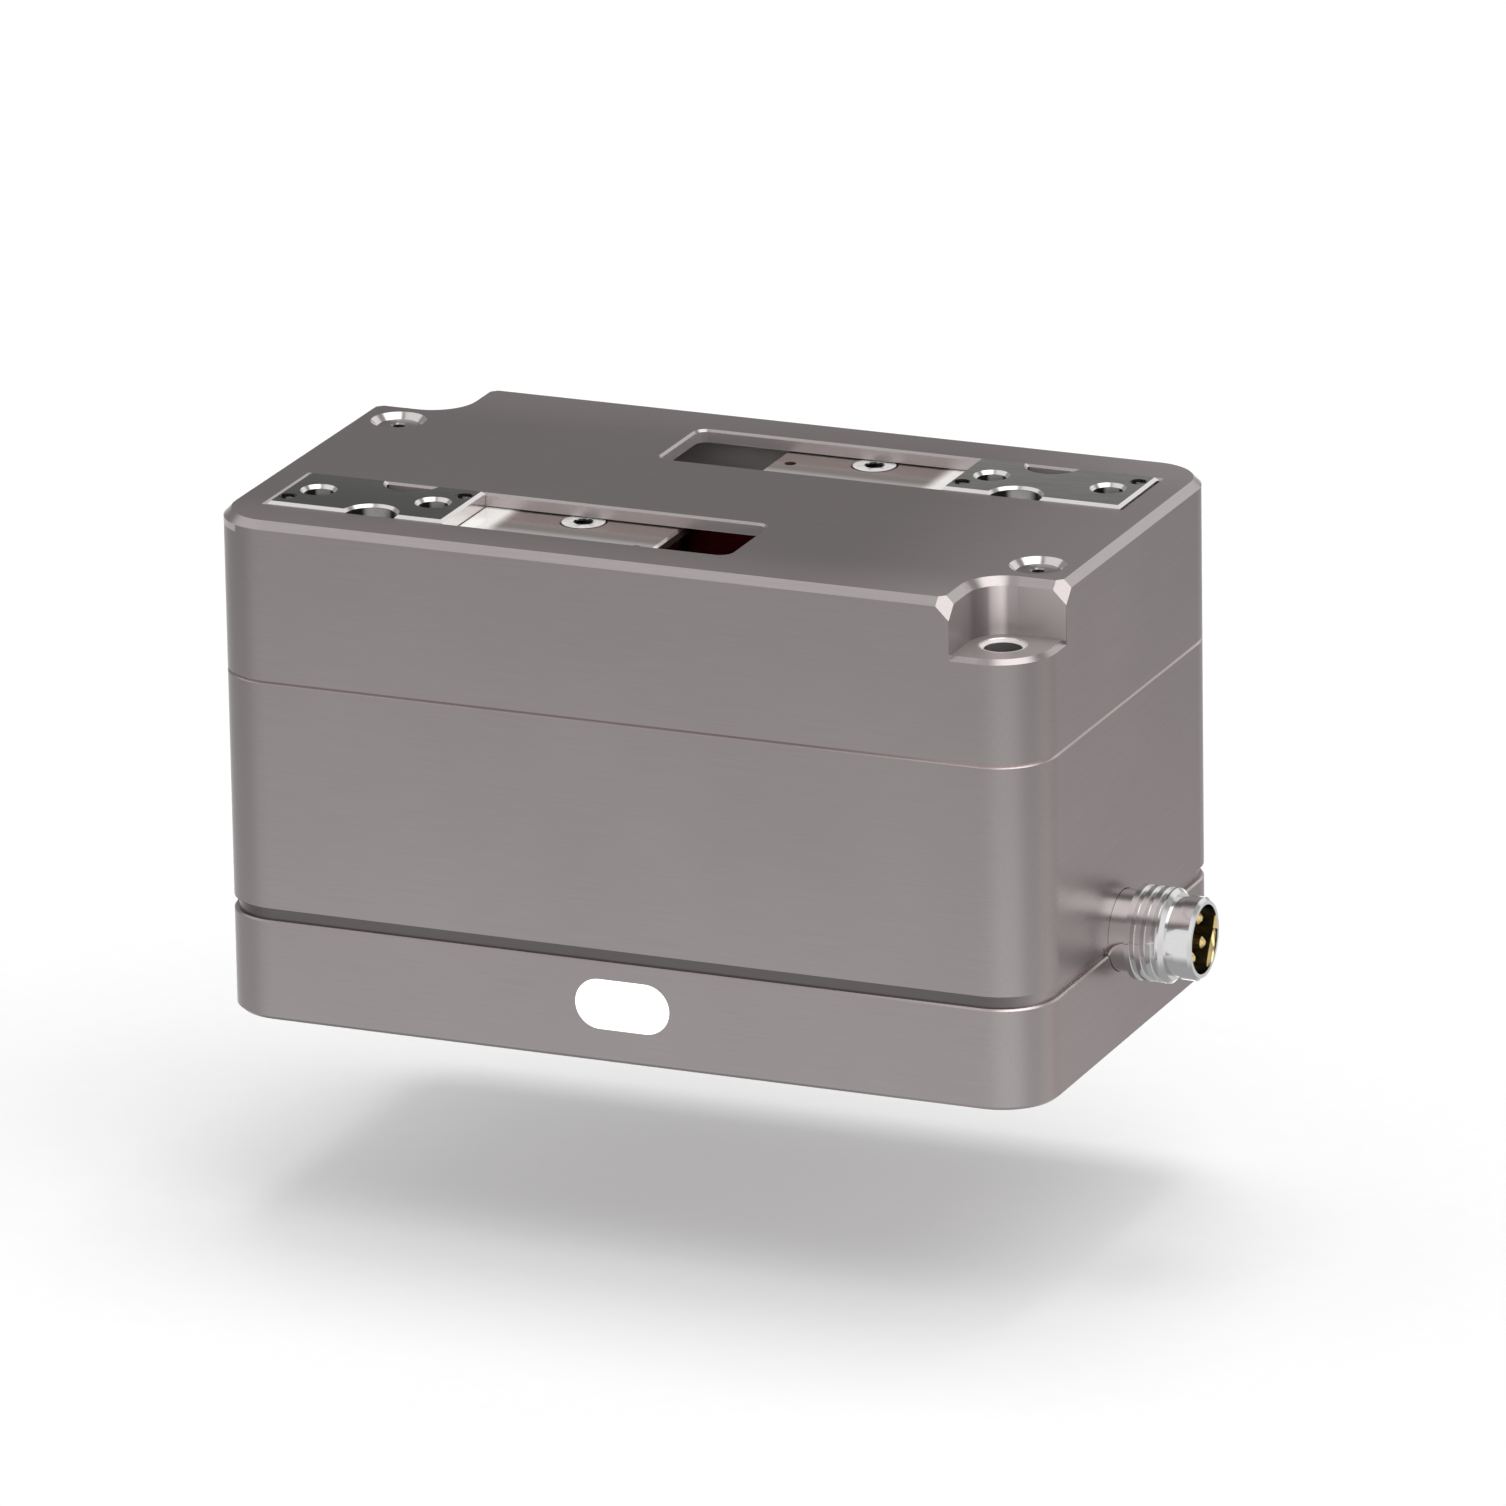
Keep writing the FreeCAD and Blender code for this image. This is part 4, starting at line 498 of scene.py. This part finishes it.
def strip_metal(name, pale, dark, plate_highlight):
    """Polished strip with painted reflection: painted pale along its front half, with a painted highlight
    by the plate, and darker behind.
    """
    material, tree, shader = new_material(name)
    across = parts_of(tree, make(tree, "ShaderNodeTexCoord").outputs["Generated"])["Y"]
    x, y, _ = parts_of(tree, place_of(tree))
    from_plate = product(tree, x, -1.0, maths(tree, "SIGN", y))
    mark = brushed(tree, 0.1 * MM, 12 * MM)
    # Painted reflection: pale front half, darker rear half
    colour = blend_colour(tree, smooth(tree, across, 0.42, 0.52), pale, dark)
    colour = scaled(tree, colour, of_noise(tree, mark, 0.93, 1.07))
    # Painted highlight by the plate
    near_plate = smooth(tree, from_plate, PLATE_EDGE + BRIGHT_LENGTH, PLATE_EDGE + 0.6 * BRIGHT_LENGTH)
    tree.links.new(blend_colour(tree, near_plate, colour, plate_highlight), shader.inputs["Base Color"])
    tree.links.new(by_share(tree, near_plate, 0.9, 0.2), shader.inputs["Metallic"])
    tree.links.new(of_noise(tree, mark, 0.15, 0.1), shader.inputs["Roughness"])
    bump(tree, shader, mark, 0.05)
    return material


def moulded(name, dark, light, roughness):
    """Moulded plastic or laminate with a fine pebbled skin."""
    material, tree, shader = new_material(name)
    grain = 0.25 * MM
    pebble = cloud(tree, grain, 4.0)
    tone = cloud(tree, 12 * grain)
    tree.links.new(blend_colour(tree, of_noise(tree, tone), dark, light), shader.inputs["Base Color"])
    tree.links.new(of_noise(tree, pebble, roughness - 0.06, roughness + 0.06), shader.inputs["Roughness"])
    bump(tree, shader, pebble, 0.12, 2 * BUMP_HEIGHT)
    return material


def lit_window(name, colour, strength):
    """A diffusing window with a fine grain that its lamps light evenly."""
    material, tree, shader = new_material(name)
    pebble = of_noise(tree, cloud(tree, 0.2 * MM, 2.0))
    for socket in ("Base Color", "Emission Color"):
        tree.links.new(blend_colour(tree, pebble, colour, (1.0, 1.0, 1.0)), shader.inputs[socket])
    shader.inputs["Roughness"].default_value = 0.35
    shader.inputs["Emission Strength"].default_value = strength
    return material


finishes = {
    "housing_metal": housing_metal("housing_metal"),
    "window_plastic": lit_window("window_plastic", (0.97, 0.98, 1.0), 1.2),
    "board_laminate": moulded("board_laminate", (0.02, 0.12, 0.06), (0.04, 0.2, 0.1), 0.4),
    "component_plastic": moulded("component_plastic", (0.02, 0.02, 0.022), (0.045, 0.045, 0.05), 0.5),
    # Edges painted paler than the level faces: a painted highlight
    "screw_steel": two_faced_metal("screw_steel", (0.42, 0.42, 0.42), (0.72, 0.72, 0.72), 0.22, 0.16),
    "rail_steel": metal("rail_steel", (0.48, 0.48, 0.49), (0.62, 0.62, 0.63), 0.25,
                        0.1 * MM, 4 * MM, 0.2),
    "bridge_metal": metal("bridge_metal", (0.10, 0.006, 0.012), (0.17, 0.012, 0.02), 0.35,
                          0.12 * MM, 5 * MM, 0.2),
    "bearing_steel": metal("bearing_steel", (0.5, 0.5, 0.51), (0.68, 0.68, 0.69), 0.2,
                           0.08 * MM, 2 * MM, 0.15),
    "motor_metal": metal("motor_metal", (0.26, 0.26, 0.28), (0.36, 0.36, 0.38), 0.4,
                         0.15 * MM, 5 * MM, 0.25),
    "plate_metal": metal("plate_metal", (0.5, 0.5, 0.52), (0.66, 0.66, 0.68), 0.35,
                         0.15 * MM, 6 * MM, 0.25),
    "connector_metal": metal("connector_metal", (0.74, 0.735, 0.735), (0.82, 0.815, 0.815), 0.075,
                             0.05 * MM, 0.6 * MM, 0.02, 3 * MM, 0.015),
    "insert_plastic": moulded("insert_plastic", (0.085, 0.072, 0.028), (0.14, 0.12, 0.052), 0.42),
    "contact_gold": metal("contact_gold", (0.82, 0.6, 0.24), (0.95, 0.76, 0.38), 0.18,
                          0.05 * MM, 1 * MM, 0.05, 1 * MM, 0.03),
    "gear_steel": metal("gear_steel", (0.42, 0.42, 0.43), (0.58, 0.58, 0.59), 0.3,
                        0.1 * MM, 3 * MM, 0.2),
    "gear_brass": metal("gear_brass", (0.6, 0.44, 0.2), (0.74, 0.58, 0.3), 0.28,
                        0.1 * MM, 3 * MM, 0.2),
    # Edges painted paler than the level faces: a painted highlight
    "jaw_steel": two_faced_metal("jaw_steel", (0.135, 0.131, 0.125), (0.78, 0.75, 0.74), 0.14, 0.15,
                                 HOUSING_TOP - PLATE_SKIN),
    # The strip's colours are painted reflection and a painted highlight by the plate
    "strip_steel": strip_metal("strip_steel", (0.86, 0.81, 0.78), (0.46, 0.4, 0.375), (0.95, 0.93, 0.91)),
    # Painted highlight on the level faces and painted shade on the rims and socket walls
    "screw_polish": screw_metal("screw_polish", (0.86, 0.85, 0.84), (0.03, 0.03, 0.03)),
    "cover_screw_metal": metal("cover_screw_metal", (0.3, 0.285, 0.28), (0.36, 0.34, 0.335), 0.24,
                               0.3 * MM, 2 * MM, 0.0, 2 * MM, 0.03),
}

for name, item in nodes.items():
    item.data.materials.clear()
    item.data.materials.append(finishes[slot_of[name]])


# Screws with rounded heads, hexagon sockets and ridged shanks, in place of their plain solids

# Finish, and half the distance across the socket's flats
SCREW_NODES = {"cover_screws": ("cover_screw_metal", 0.5 * MM),
               "front_slide_cover_screws": ("screw_polish", 0.66 * MM),
               "rear_slide_cover_screws": ("screw_polish", 0.66 * MM)}
SEGMENTS = 48
SHANK_RADIUS = 1.0 * MM
TIP_SHARE = 0.6
TIP_LENGTH = 0.3 * MM
THREAD_PITCH = 0.4 * MM
THREAD_ROOT = 0.86
NECK_SPARE = 0.12 * MM
HEAD_RIM = 0.22 * MM
HEAD_TAPER = 0.03 * MM
HEAD_LAND = 0.05 * MM
RIM_STEPS = 4
SOCKET_CHAMFER = 0.1 * MM
SOCKET_LEAD = 0.12 * MM
SOCKET_DEPTH = 0.62 * MM
SOCKET_TIP_DEPTH = 0.78 * MM
SOCKET_TIP = 0.02 * MM
SAME_POINT = 0.001 * MM
CREASE_ANGLE = 32


def solids_of(node):
    """The lowest and highest corners of each separate solid of a node."""
    mesh = bmesh.new()
    mesh.from_mesh(nodes[node].data)
    bmesh.ops.remove_doubles(mesh, verts=mesh.verts, dist=SAME_POINT)
    waiting, found = set(mesh.verts), []
    while waiting:
        stack, island = [waiting.pop()], []
        while stack:
            vertex = stack.pop()
            island.append(vertex.co.copy())
            for edge in vertex.link_edges:
                other = edge.other_vert(vertex)
                if other in waiting:
                    waiting.remove(other)
                    stack.append(other)
        found.append([Vector(choose(point[axis] for point in island) for axis in range(3))
                      for choose in (min, max)])
    mesh.free()
    return found


def ring(mesh, centre, radius, height, hexagon=False):
    """A ring of vertices, round or on a hexagon with that distance across half its flats."""
    vertices = []
    for step in range(SEGMENTS):
        turn = 2 * math.pi * step / SEGMENTS
        reach = radius
        if hexagon:
            reach = radius / math.cos((turn % (math.pi / 3)) - math.pi / 6)
        vertices.append(mesh.verts.new((centre.x + reach * math.cos(turn),
                                        centre.y + reach * math.sin(turn), height)))
    return vertices


def screw_profile(low, high, flats):
    """Rings from the tip up over the head and down into the socket: radius, height, on a hexagon."""
    head, top = (high.x - low.x) / 2, high.z
    neck = top - (head - SHANK_RADIUS) - NECK_SPARE
    rings = [(TIP_SHARE * SHANK_RADIUS, low.z, False)]
    height = low.z + TIP_LENGTH
    while height < neck - THREAD_PITCH:
        rings += [(SHANK_RADIUS, height, False),
                  (THREAD_ROOT * SHANK_RADIUS, height + THREAD_PITCH / 2, False)]
        height += THREAD_PITCH
    rings += [(SHANK_RADIUS, neck, False), (head - HEAD_TAPER, top - HEAD_RIM - HEAD_LAND, False)]
    for step in range(RIM_STEPS + 1):
        share = step / RIM_STEPS
        turn = math.pi / 2 * share
        rings.append((head - HEAD_RIM + HEAD_RIM * math.cos(turn) - HEAD_TAPER * (1 - share),
                      top - HEAD_RIM + HEAD_RIM * math.sin(turn), False))
    mouth = flats / math.cos(math.pi / 6) + SOCKET_CHAMFER
    rings += [(mouth, top, False), (flats, top - SOCKET_LEAD, True), (flats, top - SOCKET_DEPTH, True),
              (SOCKET_TIP, top - SOCKET_TIP_DEPTH, False)]
    return rings


def add_screws(node, finish, flats):
    mesh = bmesh.new()
    for low, high in solids_of(node):
        centre = (low + high) / 2
        rings = [ring(mesh, centre, *step) for step in screw_profile(low, high, flats)]
        for lower, upper in zip(rings, rings[1:]):
            for index in range(SEGMENTS):
                after = (index + 1) % SEGMENTS
                mesh.faces.new((lower[index], lower[after], upper[after], upper[index]))
        mesh.faces.new(reversed(rings[0]))
        mesh.faces.new(rings[-1])
    data = bpy.data.meshes.new(node + "_detailed")
    mesh.to_mesh(data)
    mesh.free()
    for face in data.polygons:
        face.use_smooth = True
    data.set_sharp_from_angle(angle=math.radians(CREASE_ANGLE))
    piece = bpy.data.objects.new(node + "_detailed", data)
    bpy.context.scene.collection.objects.link(piece)
    data.materials.append(finishes[finish])
    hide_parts(node)
    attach(piece, body_of[node])


for node, (finish, flats) in SCREW_NODES.items():
    add_screws(node, finish, flats)


# Floor

FLOOR_DROP = 17.5 * MM
FLOOR_SIZE = 6.0
FLOOR_DARK = (0.69, 0.69, 0.69)
FLOOR_LIGHT = (0.71, 0.71, 0.71)
FLOOR_GLOW = 0.24


def seen_rays(tree):
    """One for camera, glossy and transmission rays, and zero for the light they carry."""
    path = make(tree, "ShaderNodeLightPath").outputs
    either = maths(tree, "MAXIMUM", path["Is Camera Ray"], path["Is Glossy Ray"])
    return maths(tree, "MAXIMUM", either, path["Is Transmission Ray"])


def floor_material():
    material, tree, shader = new_material("floor_white")
    speck = cloud(tree, 2 * MM, 2.0)
    tree.links.new(blend_colour(tree, speck, FLOOR_DARK, FLOOR_LIGHT), shader.inputs["Base Color"])
    shader.inputs["Roughness"].default_value = 0.9
    shader.inputs["Specular IOR Level"].default_value = 0.0
    shader.inputs["Emission Color"].default_value = (1.0, 1.0, 1.0, 1.0)
    tree.links.new(maths(tree, "MULTIPLY", seen_rays(tree), FLOOR_GLOW),
                   shader.inputs["Emission Strength"])
    return material


def make_floor():
    mesh = bpy.data.meshes.new("studio_floor")
    half = FLOOR_SIZE / 2
    corners = [(-half, -half), (half, -half), (half, half), (-half, half)]
    mesh.from_pydata([(x, y, -FLOOR_DROP) for x, y in corners], [], [(0, 1, 2, 3)])
    floor = bpy.data.objects.new("studio_floor", mesh)
    bpy.context.scene.collection.objects.link(floor)
    floor.data.materials.append(floor_material())
    floor.visible_glossy = False


# Light

LAMP_PLACE = Vector((-0.04, 0.22, 1.0))
LAMP_AIM = Vector((0.0, 0.0, 0.02))
LAMP_SIZE = (0.45, 0.35)
LAMP_POWER = 3.2


def make_lamp():
    light = bpy.data.lights.new("overhead", "AREA")
    light.shape = "RECTANGLE"
    light.size, light.size_y = LAMP_SIZE
    light.energy = LAMP_POWER
    item = bpy.data.objects.new("overhead", light)
    item.location = LAMP_PLACE
    item.visible_camera = False
    item.visible_glossy = False
    item.rotation_euler = (LAMP_AIM - LAMP_PLACE).to_track_quat("-Z", "Y").to_euler()
    bpy.context.scene.collection.objects.link(item)


def toward(azimuth, elevation):
    """A direction, with azimuth 0 towards -Y and 90 towards +X."""
    return Vector((sine(azimuth) * cosine(elevation), -cosine(azimuth) * cosine(elevation),
                   sine(elevation)))


# Brighter and darker parts of the room: direction, angles of full and of faded effect, added brightness
ROOM_PARTS = (
    (toward(72, 65), 18, 32, 2.1),
    (toward(-97, 59), 26, 33, 0.7),
    (toward(160, 23), 10, 26, 0.75),
    (toward(30, -18), 5, 36, 0.23),
    (toward(84, -18), 3, 28, -0.18),
    (toward(158, -18), 12, 34, -0.26),
    (toward(-85, -18), 20, 48, -0.3),
    (toward(-157, -20), 8, 18, 1.3),
)
ROOM_FRONT, ROOM_DARK, ROOM_DOWN = 1.12, 0.41, 0.5

# The room's dark back: direction, angles of full and of no effect, and elevations it rises between.
# The front darkens above, and all round the room dims far below.
BACK = (toward(203, 20), 50, 105)
BACK_FROM, BACK_TO = -7, 9
HIGH_FROM, HIGH_TO = 33, 38
DOWN_FROM, DOWN_TO = -30, -55


def within(tree, direction, aim, full, faded):
    """One within an angle of the aim, falling to zero at the faded angle."""
    nearness = make(tree, "ShaderNodeVectorMath", {0: direction, 1: aim}, operation="DOT_PRODUCT")
    return smooth(tree, nearness.outputs["Value"], cosine(faded), cosine(full))


def make_world():
    """A pale room, bright to the front, that darkens upwards and to the back, with soft boxes in it."""
    world = bpy.data.worlds.new("studio")
    bpy.context.scene.world = world
    world.use_nodes = True
    tree = world.node_tree
    tree.nodes.clear()
    direction = make(tree, "ShaderNodeTexCoord").outputs["Generated"]
    height = parts_of(tree, direction)["Z"]
    back = product(tree, smooth(tree, height, sine(BACK_FROM), sine(BACK_TO)),
                   within(tree, direction, *BACK))
    high = smooth(tree, height, sine(HIGH_FROM), sine(HIGH_TO))
    level = by_share(tree, maths(tree, "MAXIMUM", back, high), ROOM_FRONT, ROOM_DARK)
    down = smooth(tree, height, sine(DOWN_FROM), sine(DOWN_TO))
    level = by_share(tree, down, level, ROOM_DOWN)
    for aim, full, faded, brightness in ROOM_PARTS:
        part = maths(tree, "MULTIPLY", within(tree, direction, aim, full, faded), brightness)
        level = maths(tree, "ADD", level, part)
    background = make(tree, "ShaderNodeBackground", {"Strength": level})
    output = make(tree, "ShaderNodeOutputWorld")
    tree.links.new(background.outputs[0], output.inputs["Surface"])


# Camera

CAMERA_AIM = Vector((3.2, 0.0, 21.0)) * MM
CAMERA_AZIMUTH = 23.25
CAMERA_ELEVATION = 18.32
CAMERA_DISTANCE = 1.2263
CAMERA_ROLL = -0.97
CAMERA_LENS = 352.0
CAMERA_SENSOR = 36.0
CAMERA_NEAR, CAMERA_FAR = 0.05, 20.0


def make_camera():
    back = toward(CAMERA_AZIMUTH, CAMERA_ELEVATION)
    data = bpy.data.cameras.new("camera")
    data.lens = CAMERA_LENS
    data.sensor_width = CAMERA_SENSOR
    data.clip_start = CAMERA_NEAR
    data.clip_end = CAMERA_FAR
    camera = bpy.data.objects.new("camera", data)
    camera.location = CAMERA_AIM + back * CAMERA_DISTANCE
    roll = Quaternion(back, math.radians(CAMERA_ROLL))
    camera.rotation_mode = "QUATERNION"
    camera.rotation_quaternion = roll @ back.to_track_quat("Z", "Y")
    bpy.context.scene.collection.objects.link(camera)
    bpy.context.scene.camera = camera


make_floor()
make_world()
make_lamp()
make_camera()
bpy.context.scene.view_settings.view_transform = "Standard"
